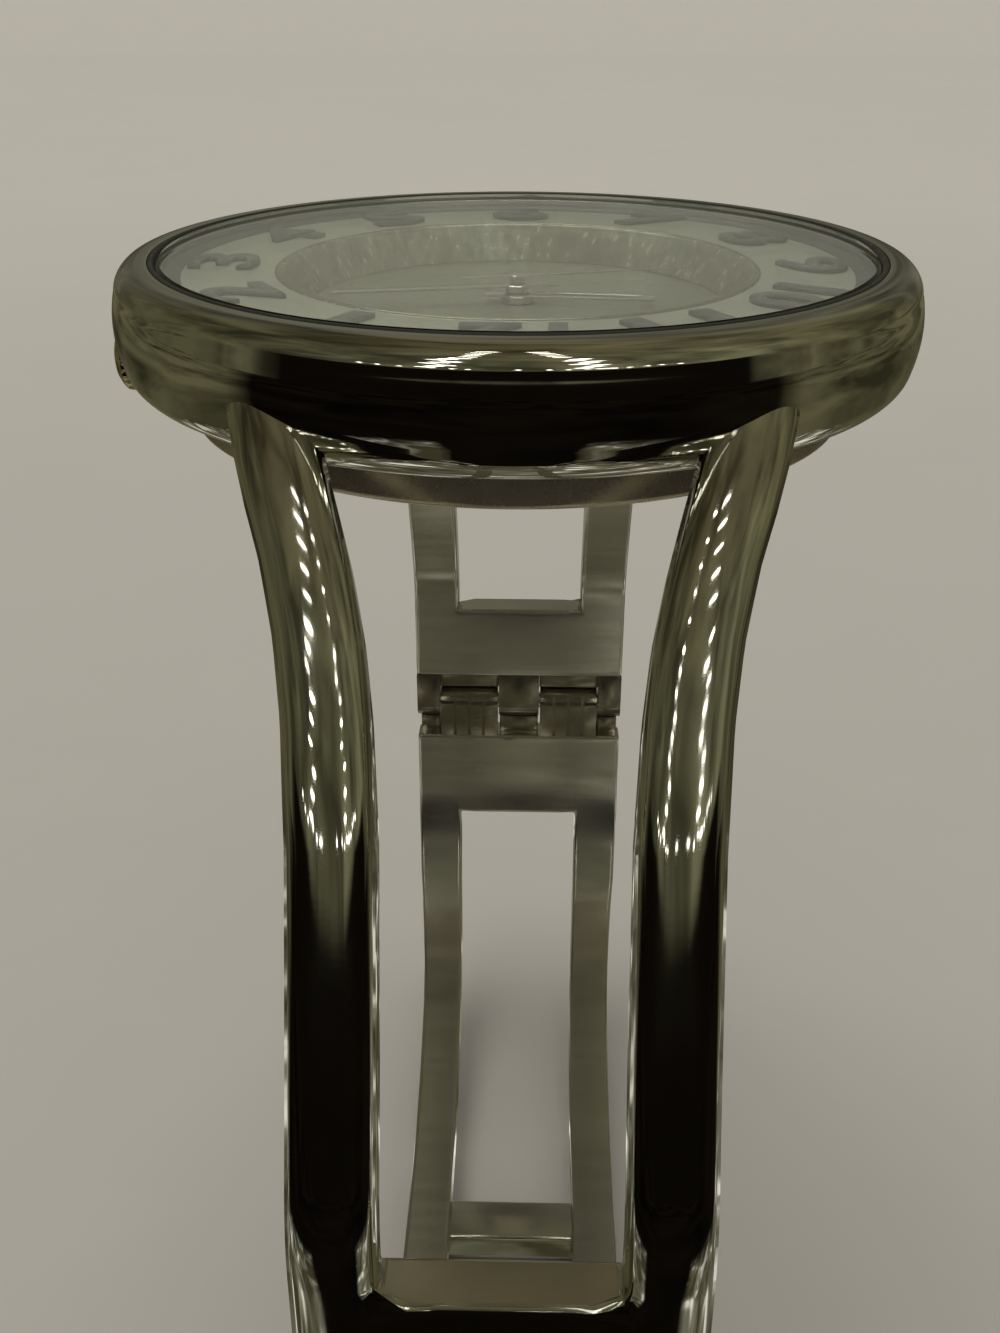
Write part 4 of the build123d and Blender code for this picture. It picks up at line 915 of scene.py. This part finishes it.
def finish_strip(piece, grid, stations, widths, window):
    """Cut the window, mirror, thicken, crown the rails and round the edges."""
    mesh = bmesh.from_edit_mesh(piece.data)
    mesh.faces.ensure_lookup_table()
    middle = mesh.faces[len(mesh.faces) // 3]
    centre = middle.calc_center_median()
    outward = middle.normal.dot(Vector((0, centre.y, centre.z - WRIST_Z * MM)))
    bpy.ops.mesh.select_all(action="SELECT")
    if outward < 0:
        bpy.ops.mesh.flip_normals()
    lookup = {index: key for key, index in grid.items()}
    bpy.ops.mesh.select_all(action="DESELECT")
    bpy.ops.mesh.select_mode(type="FACE")
    mesh = bmesh.from_edit_mesh(piece.data)
    for face in mesh.faces:
        keys = [lookup[v.index] for v in face.verts]
        in_window = all(window(*stations[k[1]]) for k in keys)
        face.select_set(in_window and max(k[0] for k in keys) <= PLATE_STEPS)
    bmesh.update_edit_mesh(piece.data)
    bpy.ops.mesh.delete(type="FACE")
    bpy.ops.mesh.select_mode(type="VERT")
    bpy.ops.object.mode_set(mode="OBJECT")
    modify(piece, "MIRROR", use_axis=(True, False, False), use_clip=True, merge_threshold=0.005 * MM)
    modify(piece, "SOLIDIFY", thickness=BAND_THICK * MM, offset=-1.0, use_even_offset=True)
    crown_rails(piece, stations, widths, window)
    modify(piece, "BEVEL", width=EDGE * MM, segments=4, limit_method="ANGLE", angle_limit=50 * DEG)
    smooth(piece, 60)
    modify(piece, "WEIGHTED_NORMAL", mode="FACE_AREA", keep_sharp=True, weight=50)
    return piece


def crown_rails(piece, stations, widths, window):
    """Lower the outer face towards the edges of each rail, along the band's own normal."""
    only(piece)
    bpy.ops.object.mode_set(mode="EDIT")
    bpy.ops.mesh.select_mode(type="VERT")
    for row, (y, z) in enumerate(stations):
        before, after = stations[max(row - 1, 0)], stations[min(row + 1, len(stations) - 1)]
        along = Vector((0, after[0] - before[0], after[1] - before[1])).normalized()
        normal = Vector((0, along.z, -along.y))
        if normal.dot(Vector((0, y, z - WRIST_Z))) < 0:
            normal.negate()
        outer_x, inner_x = widths(y, z)
        levels = {}
        for step in range(RAIL_STEPS + 1):
            t = step / RAIL_STEPS
            if t < 0.5 and not window(y, z):
                continue
            drop = CROWN_HIGH * abs(2 * t - 1) ** 3
            if drop > 0.001:
                levels.setdefault(round(drop, 4), []).append(inner_x + (outer_x - inner_x) * t)
        for drop, places in levels.items():
            take(
                piece,
                lambda co: abs(co.y - y * MM) < 0.01 * MM
                and abs(co.z - z * MM) < 0.01 * MM
                and any(abs(abs(co.x) - x * MM) < 0.02 * MM for x in places),
            )
            bpy.ops.transform.translate(value=normal * -drop * MM)
    bpy.ops.object.mode_set(mode="OBJECT")


def line_inside(piece):
    """Give the faces that look towards the wrist the satin finish."""
    piece.data.materials.append(FINISH["band_satin"])
    for face in piece.data.polygons:
        inward = Vector((0, -face.center.y, WRIST_Z * MM - face.center.z)).normalized()
        if face.normal.dot(inward) > 0.6 and abs(face.normal.x) < 0.5:
            face.material_index = 1


# %% [markdown]
# ### Upper arms
#
# The near arm ends at the parting of the clasp and the far arm ends at the hinge. Both
# have the same curve and the same window, so one recipe makes both, and the far one is
# mirrored by giving it stations with the other sign.

# %% Upper arms
UPPER_WINDOW_Z = 31.49


def window_upper(y, z):
    return z > UPPER_WINDOW_Z


near_stations = upper_curve(ARM_END_CLASP)
near_arm, grid = strip("arm_near", near_stations, arm_widths)
finish_strip(near_arm, grid, near_stations, arm_widths, window_upper)
hang(near_arm, "head", "band_steel", "arm_twelve")
line_inside(near_arm)

far_stations = [(-y, z) for y, z in upper_curve(ARM_END_HINGE)]
far_arm, grid = strip("arm_far", far_stations, arm_widths)
finish_strip(far_arm, grid, far_stations, arm_widths, window_upper)
hang(far_arm, "head", "band_steel", "arm_six")
line_inside(far_arm)

# %% [markdown]
# ### Lower half
#
# One strip runs from the clasp down, along the bottom and up to the hinge. Its window is
# open between the two end plates, and a cross bar bridges it at the bottom.

# %% Lower half
def window_lower(y, z):
    return z <= LOWER_WINDOW_Z + 0.05


half_near = lower_curve(HALF_END_CLASP)
half_far = [(-y, z) for y, z in lower_curve(HALF_END_HINGE)]
for row, (y, z) in enumerate(half_near):
    if abs(z - LOWER_WINDOW_Z) < 0.4:
        half_near[row] = (y, LOWER_WINDOW_Z)
        half_far[row] = (-y, LOWER_WINDOW_Z)
lower_stations = half_near + half_far[::-1][1:]
lower, grid = strip("lower_rails", lower_stations, lower_widths)
finish_strip(lower, grid, lower_stations, lower_widths, window_lower)
hang(lower, "lower_half", "band_steel", "lower_frame")

# %% [markdown]
# ### Clasp box
#
# The near end of the lower half is a box: the tongue of the upper arm drops into it, and a
# bolt with a ribbed pad slides across. The rooms are cut with boxes, as a miller would.

# %% Rooms of the clasp
def cube(name, low, high, edge=0.0):
    """A block between two corners in mm, with softened edges."""
    fresh()
    bpy.ops.mesh.primitive_cube_add(size=1.0, location=(0, 0, 0))
    piece = begin(name)
    bpy.ops.mesh.select_all(action="SELECT")
    size = [(b - a) * MM for a, b in zip(low, high)]
    bpy.ops.transform.resize(value=size, center_override=(0, 0, 0))
    bpy.ops.transform.translate(value=[(a + b) / 2 * MM for a, b in zip(low, high)])
    bpy.ops.object.mode_set(mode="OBJECT")
    if edge:
        modify(piece, "BEVEL", width=edge * MM, segments=3, limit_method="ANGLE")
    return piece


def cut(piece, low, high):
    """Cut a room between two corners out of a piece."""
    room = cube("cutter", low, high)
    modify(piece, "BOOLEAN", object=room, operation="DIFFERENCE", solver="EXACT")
    bpy.data.objects.remove(room)


def joined(name, parts):
    fresh()
    for part in parts:
        part.select_set(True)
    bpy.context.view_layer.objects.active = parts[0]
    bpy.ops.object.join()
    piece = bpy.context.object
    piece.name = name
    piece.data.name = name
    return smooth(piece, 40)


BOLT_Z = 20.7
BOLT_PLAY, BOLT_TRAVEL = 0.06, 1.5
# low and high corners of what slides, with the bolt drawn back
PAD = (3.6, 30.77, BOLT_Z - 1.3), (5.9, 31.22, BOLT_Z + 1.3)
NECK = (4.1, 29.72, BOLT_Z - 0.45), (5.1, 30.83, BOLT_Z + 0.45)
LUG = (3.8, 29.72, BOLT_Z - 0.6), (5.4, 30.52, BOLT_Z + 0.6)
TONGUE_ROOM = (-3.66, 29.40, 18.2), (3.66, 30.60, 24.0)
OUTSIDE_Y = 32.0
NECK_WAY_Y = (29.60, 31.0)
BESIDE_X, BESIDE_Z = (1.0, 6.1), (18.4, 23.1)


def cut_way(part, inner_y, outer_y):
    """Cut the way along which a part of the bolt slides, with play round it."""
    (left, _, bottom), (right, _, top) = part
    low = (left - BOLT_TRAVEL - BOLT_PLAY, inner_y, bottom - BOLT_PLAY)
    cut(lower, low, (right + BOLT_PLAY, outer_y, top + BOLT_PLAY))


cut(lower, *TONGUE_ROOM)
cut_way(PAD, PAD[0][1] - BOLT_PLAY, OUTSIDE_Y)
cut_way(NECK, *NECK_WAY_Y)
cut_way(LUG, LUG[0][1] - BOLT_PLAY, LUG[1][1] + BOLT_PLAY)
smooth(lower, 40)
# the flat metal beside the bolt is shaded flat, or the cuts would bend its reflection
for face in lower.data.polygons:
    x, z = face.center.x / MM, face.center.z / MM
    beside_bolt = BESIDE_X[0] < x < BESIDE_X[1] and BESIDE_Z[0] < z < BESIDE_Z[1]
    if beside_bolt and face.normal.y > 0.999:
        face.use_smooth = False
modify(lower, "WEIGHTED_NORMAL", mode="FACE_AREA", keep_sharp=True, weight=50)
line_inside(lower)
print("lower half after cutting:", len(lower.data.polygons), "faces")

# %% [markdown]
# ### Bolt
#
# The pad of the bolt has four ribs, so it can be pushed sideways. Its neck goes
# through the wall and carries the lug that locks the tongue.

# %% Clasp bolt
RIBS, RIB_HALF, RIB_REACH = 4, 0.1, 1.0
RIB_Y = (31.12, 31.42)
pad_from, pad_to = PAD[0][0], PAD[1][0]
parts = [cube("pad", *PAD, edge=0.1), cube("neck", *NECK, edge=0.05), cube("lug", *LUG, edge=0.08)]
for rib in range(RIBS):
    x = pad_from + (pad_to - pad_from) / (RIBS + 1) * (rib + 1)
    low = (x - RIB_HALF, RIB_Y[0], BOLT_Z - RIB_REACH)
    high = (x + RIB_HALF, RIB_Y[1], BOLT_Z + RIB_REACH)
    parts.append(cube("rib", low, high, edge=0.06))
bolt = joined("bolt_pad", parts)
hang(bolt, "bolt", "pin_steel", "clasp_bolt")

# %% [markdown]
# ### Hinge
#
# The far side turns on a pin. The upper arm ends in two ears and a middle knuckle, and the
# lower half rises between them in two blocks with fine grooves. Each knuckle starts as a
# short cylinder about the pin, and its far half is drawn out flat to the plate it grows from.

# %% Hinge knuckles
PIN = (-30.12, 23.6)
KNUCKLE_R = 1.15
HINGE_GAP = 0.1
MIDDLE_HALF = 1.5
BLOCK_IN, BLOCK_OUT = MIDDLE_HALF + HINGE_GAP, 5.85
EAR_IN = BLOCK_OUT + HINGE_GAP
EAR_PLATE, BLOCK_PLATE = 26.14, 21.06
SINK = 0.16
WEB_Y = (-30.47, -29.77)
EAR_WEB_HALF = 2.2
BLOCK_WEBS = ((0, 1.45), (-6.7, 0.7), (6.7, 0.7))  # middle and half width of each
GROOVES, GROOVE_HALF = 3, 0.11
GROOVE_Y, GROOVE_Z = (-29.25, -28.0), (20.0, 26.0)
STOP_OUT, STOP_TOP = 6.92, 22.45
STOP_Y = (-31.24, -30.93)


def knuckle(name, x0, x1, plate):
    fresh()
    bpy.ops.mesh.primitive_cylinder_add(
        vertices=64,
        radius=KNUCKLE_R * MM,
        depth=(x1 - x0) * MM,
        location=((x0 + x1) / 2 * MM, PIN[0] * MM, PIN[1] * MM),
        rotation=(0, math.pi / 2, 0),
    )
    bpy.ops.object.transform_apply(location=True, rotation=True, scale=True)
    piece = begin(name)
    way = 1 if plate > PIN[1] else -1
    take(piece, lambda co: (co.z - PIN[1] * MM) * way > 0.01 * MM)
    bpy.ops.transform.resize(value=(1, 1, 0), center_override=(0, 0, plate * MM))
    close_mesh(piece)
    return modify(
        piece, "BEVEL", width=0.09 * MM, segments=3, limit_method="ANGLE", angle_limit=50 * DEG
    )


def web(x, half, plate):
    """A wall deep in the hinge, from a plate to the knuckle that turns opposite it."""
    way = 1 if plate > PIN[1] else -1
    low, high = sorted((plate + way * SINK, PIN[1] + way * (KNUCKLE_R + HINGE_GAP)))
    return cube("web", (x - half, WEB_Y[0], low), (x + half, WEB_Y[1], high), edge=0.06)


spans = ((-HALF_X, -EAR_IN), (EAR_IN, HALF_X), (-MIDDLE_HALF, MIDDLE_HALF))
block_middle = (BLOCK_IN + BLOCK_OUT) / 2
ears = [knuckle("ear", x0, x1, EAR_PLATE) for x0, x1 in spans]
ears += [web(x, EAR_WEB_HALF, EAR_PLATE) for x in (-block_middle, block_middle)]
hinge_ears = joined("hinge_ears", ears)
# the knuckles take the darker steel: painted shade of the hinge recess
hang(hinge_ears, "head", "band_steel", finish="knuckle_steel")

blocks = []
for side in (-1, 1):
    x0, x1 = sorted((side * BLOCK_IN, side * BLOCK_OUT))
    piece = knuckle("block", x0, x1, BLOCK_PLATE)
    for groove in range(GROOVES):
        x = side * (BLOCK_IN + (BLOCK_OUT - BLOCK_IN) * (groove + 1) / (GROOVES + 1))
        low = (x - GROOVE_HALF, GROOVE_Y[0], GROOVE_Z[0])
        cut(piece, low, (x + GROOVE_HALF, GROOVE_Y[1], GROOVE_Z[1]))
    blocks.append(piece)
    x0, x1 = sorted((side * EAR_IN, side * STOP_OUT))
    low = (x0, STOP_Y[0], BLOCK_PLATE - SINK)
    blocks.append(cube("stop", low, (x1, STOP_Y[1], STOP_TOP), edge=0.08))
blocks += [web(x, half, BLOCK_PLATE) for x, half in BLOCK_WEBS]
hinge_blocks = joined("hinge_blocks", blocks)
hang(hinge_blocks, "lower_half", "band_steel", finish="knuckle_steel")

# %% Pin and cross bar
pin_end = [(0.58, 7.4), (0.57, 7.54), (0.5, 7.62), (0.36, 7.65), (0, 7.65)]
pin_profile = [(r, -x) for r, x in reversed(pin_end)] + pin_end
pin = smooth(turned("pin_rod", pin_profile, axis="X", centre=(0, *PIN), around=64), 35)
hang(pin, "head", "pin_steel", "hinge_pin")

low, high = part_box("bottom_bar")
bar = cube("cross_bar", [v / MM for v in low], [v / MM for v in high], edge=0.28)
smooth(bar, 40)
hang(bar, "lower_half", "band_steel", "bottom_bar")
line_inside(bar)

# %% [markdown]
# ## Stage and light
#
# The object rests on a plain pale floor under an even sky and one broad soft lamp. Their
# level is plain: together they add up to about one, so a colour renders as it is written.
# The world shows the floor's colour, as the lamps show it far away, to the camera and to
# polish and glass, so the horizon does not draw a line in any view.

# %% Stage
def stage_material(name, colour):
    material, g, shader = new_material(name)
    grain = noise_node(g, place_node(g), 35, 4)
    low = tuple(v * 0.985 for v in colour)
    sheet = ramp_node(g, grain, [(0.3, low), (0.7, colour)])
    away = g.nodes.new("ShaderNodeVectorMath")
    away.operation = "LENGTH"
    g.links.new(place_node(g), away.inputs[0])
    # a soft shade under the object: dimmer up to 3 cm from the middle, gone at 45 cm
    tone = range_node(g, away.outputs["Value"], 0.84, 1.0, 0.03, 0.45)
    g.links.new(toned(g, sheet, tone), shader.inputs["Base Color"])
    shader.inputs["Roughness"].default_value = 0.9
    shader.inputs["Specular IOR Level"].default_value = 0.05
    return material


FLOOR_COLOUR = (0.475, 0.452, 0.400)
HORIZON_COLOUR = (0.4675, 0.4385, 0.3755)
fresh()
bpy.ops.mesh.primitive_circle_add(vertices=128, radius=6.0, fill_type="NGON", location=(0, 0, -0.0002))
floor = bpy.context.object
floor.name = "floor"
floor.data.materials.append(stage_material("floor_beige", FLOOR_COLOUR))
floor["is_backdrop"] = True

world = bpy.data.worlds.new("studio")
bpy.context.scene.world = world
world.use_nodes = True
g = world.node_tree
sky = g.nodes["Background"]
sky.inputs["Color"].default_value = (1.0, 0.985, 0.955, 1)
sky.inputs["Strength"].default_value = 0.55
far_floor = g.nodes.new("ShaderNodeBackground")
far_floor.inputs["Color"].default_value = (*HORIZON_COLOUR, 1)
far_floor.inputs["Strength"].default_value = 1.0
path = g.nodes.new("ShaderNodeLightPath").outputs
seen = math_node(g, "MAXIMUM", path["Is Camera Ray"], path["Is Glossy Ray"])
seen = math_node(g, "MAXIMUM", seen, path["Is Transmission Ray"])
both = g.nodes.new("ShaderNodeMixShader")
g.links.new(seen, both.inputs["Fac"])
g.links.new(sky.outputs[0], both.inputs[1])
g.links.new(far_floor.outputs[0], both.inputs[2])
g.links.new(both.outputs[0], g.nodes["World Output"].inputs["Surface"])

LAMP_WAY = (-0.18, 0.22, -1.0)
sun_data = bpy.data.lights.new("soft_lamp", "SUN")
sun_data.energy = 1.45
sun_data.angle = 50 * DEG
sun_data.color = (1.0, 0.985, 0.95)
sun = bpy.data.objects.new("soft_lamp", sun_data)
bpy.context.scene.collection.objects.link(sun)
sun.matrix_world = Vector(LAMP_WAY).to_track_quat("-Z", "Y").to_matrix().to_4x4()
sun.visible_glossy = False
print("floor colour", FLOOR_COLOUR)

# %% [markdown]
# ### What the polish reflects
#
# Polished steel has no look of its own: it shows the room. In a studio that room is built
# from cards. Here it is a dim olive shell, pale behind the object, black ground in front,
# and a few rows of small lamps. Only polish and glass see these cards, so they light
# nothing and never show in the picture themselves.


# %% Cards that only show in reflections
def only_reflected(piece):
    piece.visible_camera = False
    piece.visible_diffuse = False
    piece.visible_shadow = False
    piece.visible_transmission = False
    piece.visible_volume_scatter = False
    piece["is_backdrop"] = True


def glow_material(name):
    """An emission material; returns its nodes for the pattern."""
    material, g, _ = new_material(name)
    g.nodes.clear()
    emission = g.nodes.new("ShaderNodeEmission")
    output = g.nodes.new("ShaderNodeOutputMaterial")
    g.links.new(emission.outputs[0], output.inputs["Surface"])
    return material, g, emission


def blend_colours(g, amount, first, second):
    mix = g.nodes.new("ShaderNodeMix")
    mix.data_type = "RGBA"
    g.links.new(amount, mix.inputs["Factor"])
    for key, value in (("A", first), ("B", second)):
        if isinstance(value, tuple):
            mix.inputs[key].default_value = (*value, 1)
        else:
            g.links.new(value, mix.inputs[key])
    return mix.outputs["Result"]


def place_parts(g):
    """Object coordinates as x, y, z and the turn away from the back, 0 to 1 at the front."""
    where = g.nodes.new("ShaderNodeTexCoord")
    split = g.nodes.new("ShaderNodeSeparateXYZ")
    g.links.new(where.outputs["Object"], split.inputs[0])
    x, y, z = split.outputs
    side = math_node(g, "ABSOLUTE", x)
    back = math_node(g, "MULTIPLY", y, -1.0)
    turn = math_node(g, "DIVIDE", math_node(g, "ARCTAN2", side, back), math.pi)
    return x, y, z, turn


# %% Room shell
ROOM_R = 1.2
OLIVE = (0.100, 0.098, 0.054)
DIM = (0.074, 0.070, 0.036)
BACK = (0.085, 0.082, 0.058)
FRONT = (0.085, 0.083, 0.046)
CEILING = (0.085, 0.076, 0.040)
BLACK = (0.004, 0.003, 0.002)
room_glow, g, emission = glow_material("room_glow")
x, _, z, turn = place_parts(g)
round_stops = [(0.0, BACK), (0.17, BACK), (0.28, DIM), (0.5, DIM)]
round_stops += [(0.62, OLIVE), (0.78, OLIVE), (1.0, FRONT)]
around = ramp_node(g, turn, round_stops)
height = math_node(g, "DIVIDE", z, ROOM_R)
upwards = range_node(g, height, 0, 1, 0.62, 0.95)
overhead = blend_colours(g, upwards, around, CEILING)
cloud = noise_node(g, place_node(g, (1, 1, 0.6)), 2.6, 3, 0.4)
uneven = toned(g, overhead, range_node(g, cloud, 0.45, 1.65, 0.36, 0.64))
uneven = toned(g, uneven, range_node(g, x, 1.25, 0.85, -0.8, 0.8))
# black in front, up to about a fifth of the room's height
near_ground = range_node(g, height, 1, 0, 0.19, 0.225)
in_front = range_node(g, turn, 0, 1, 0.59, 0.65)
low_front = math_node(g, "MULTIPLY", near_ground, in_front)
g.links.new(blend_colours(g, low_front, uneven, BLACK), emission.inputs["Color"])
fresh()
bpy.ops.mesh.primitive_uv_sphere_add(segments=64, ring_count=32, radius=ROOM_R, location=(0, 0, 0))
room = begin("room_shell")
bpy.ops.mesh.select_all(action="SELECT")
bpy.ops.mesh.bisect(plane_co=(0, 0, 0), plane_no=(0, 0, 1), clear_inner=True)
bpy.ops.object.mode_set(mode="OBJECT")
room.data.materials.append(room_glow)
only_reflected(room)

# %% Ground in the reflections
ground_glow, g, emission = glow_material("ground_glow")
x, y, _, turn = place_parts(g)
ground_stops = [(0.0, (0.14, 0.135, 0.10)), (0.2, DIM), (0.5, DIM)]
ground_stops += [(0.55, (0.07, 0.065, 0.035)), (0.60, BLACK), (1.0, BLACK)]
ground_colour = ramp_node(g, turn, ground_stops)
x_squared = math_node(g, "MULTIPLY", x, x)
y_squared = math_node(g, "MULTIPLY", y, y)
far_out = math_node(g, "SQRT", math_node(g, "ADD", x_squared, y_squared))
side = math_node(g, "MULTIPLY", math_node(g, "ABSOLUTE", x), 1.7)
ahead = math_node(g, "SUBTRACT", y, side)
# close to the object the ground is speckled with light, but not in front of it
close = range_node(g, far_out, 1, 0, 0.075, 0.095)
behind_edge = range_node(g, ahead, 1, 0, 0.026, 0.034)
under = math_node(g, "MULTIPLY", behind_edge, close)
smudge = noise_node(g, place_node(g), 7, 4, 0.6)
ground_colour = toned(g, ground_colour, range_node(g, smudge, 0.4, 1.7, 0.36, 0.64))
grain = noise_node(g, place_node(g, (1, 2.0, 1)), 55, 4, 1.0)
speckle_stops = [(0.40, (0.055, 0.05, 0.026)), (0.52, (0.15, 0.145, 0.10))]
speckle_stops += [(0.58, (0.25, 0.24, 0.18)), (0.64, (0.95, 0.92, 0.80))]
speckle = ramp_node(g, grain, speckle_stops)
g.links.new(blend_colours(g, under, ground_colour, speckle), emission.inputs["Color"])
fresh()
bpy.ops.mesh.primitive_circle_add(vertices=96, radius=ROOM_R, fill_type="NGON", location=(0, 0, 0.0004))
ground = bpy.context.object
ground.name = "ground_card"
ground.data.materials.append(ground_glow)
only_reflected(ground)

# %% Rows of small lamps
lamp_glow, g, emission = glow_material("lamp_glow")
emission.inputs["Color"].default_value = (1.0, 0.97, 0.86, 1)
emission.inputs["Strength"].default_value = 9.0
LAMP_FAR = 0.8
LAMP_LIFT = 0.045
COLUMN_AT, COLUMN_FROM, COLUMN_STEP = 21, 15.5, 4.1
OVERHEAD_AT, OVERHEAD_FROM, OVERHEAD_STEP = 17, 55, 5.0
ROW_AT = (-44, -39, -35, -30, -26, -19, -14, -9, -1, 12, 16, 21, 30, 36, 41)
ROW_UP = 14.4


def aimed(piece, at):
    """Turn a flat piece to face the object and carry it to its place."""
    face = (-Vector(at)).to_track_quat("Z", "Y").to_matrix().to_4x4()
    piece.data.transform(Matrix.Translation(at) @ face)


def direction(azimuth, elevation, distance):
    """A place seen from the object; azimuth runs from +Y towards +X, in degrees."""
    a, e = azimuth * DEG, elevation * DEG
    flat = math.cos(e) * distance
    return Vector((math.sin(a) * flat, math.cos(a) * flat, math.sin(e) * distance + LAMP_LIFT))


# two uneven columns that go on overhead, and a low row; each spot is an azimuth and an
# elevation in degrees, then half a width and half a height in metres
spots = []
for side in (-1, 1):
    for step in range(9):
        azimuth = side * COLUMN_AT + 3.0 * math.sin(2.1 * step + side)
        elevation = COLUMN_FROM + COLUMN_STEP * step + side * 0.9
        spots.append((azimuth, elevation, 0.036, 0.006 + 0.002 * (step % 3)))
    for step in range(5):
        azimuth = side * OVERHEAD_AT + step * 0.5
        spots.append((azimuth, OVERHEAD_FROM + OVERHEAD_STEP * step, 0.03, 0.005))
for azimuth in ROW_AT:
    spots.append((azimuth, ROW_UP + 0.8 * (azimuth % 2), 0.011, 0.006))
for number, (azimuth, elevation, wide, high) in enumerate(spots):
    fresh()
    bpy.ops.mesh.primitive_circle_add(vertices=20, radius=1.0, fill_type="NGON", location=(0, 0, 0))
    spot = bpy.context.object
    spot.name = "lamp_spot_" + str(number)
    spot.data.transform(Matrix.Diagonal((wide, high, 1, 1)))
    aimed(spot, direction(azimuth, elevation, LAMP_FAR))
    spot.data.materials.append(lamp_glow)
    only_reflected(spot)
print("small lamps:", len(spots))

# %% Finishes on the carried-over solids
slots = [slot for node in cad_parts.values() for slot in node.material_slots]
for slot in slots:
    kind = slot.material.name.split(".")[0] if slot.material else ""
    slot.material = FINISH.get(kind, slot.material)
print({slot.material.name for slot in slots})

# %% View settings, size and end
bpy.context.scene.view_settings.view_transform = "Standard"
low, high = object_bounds()
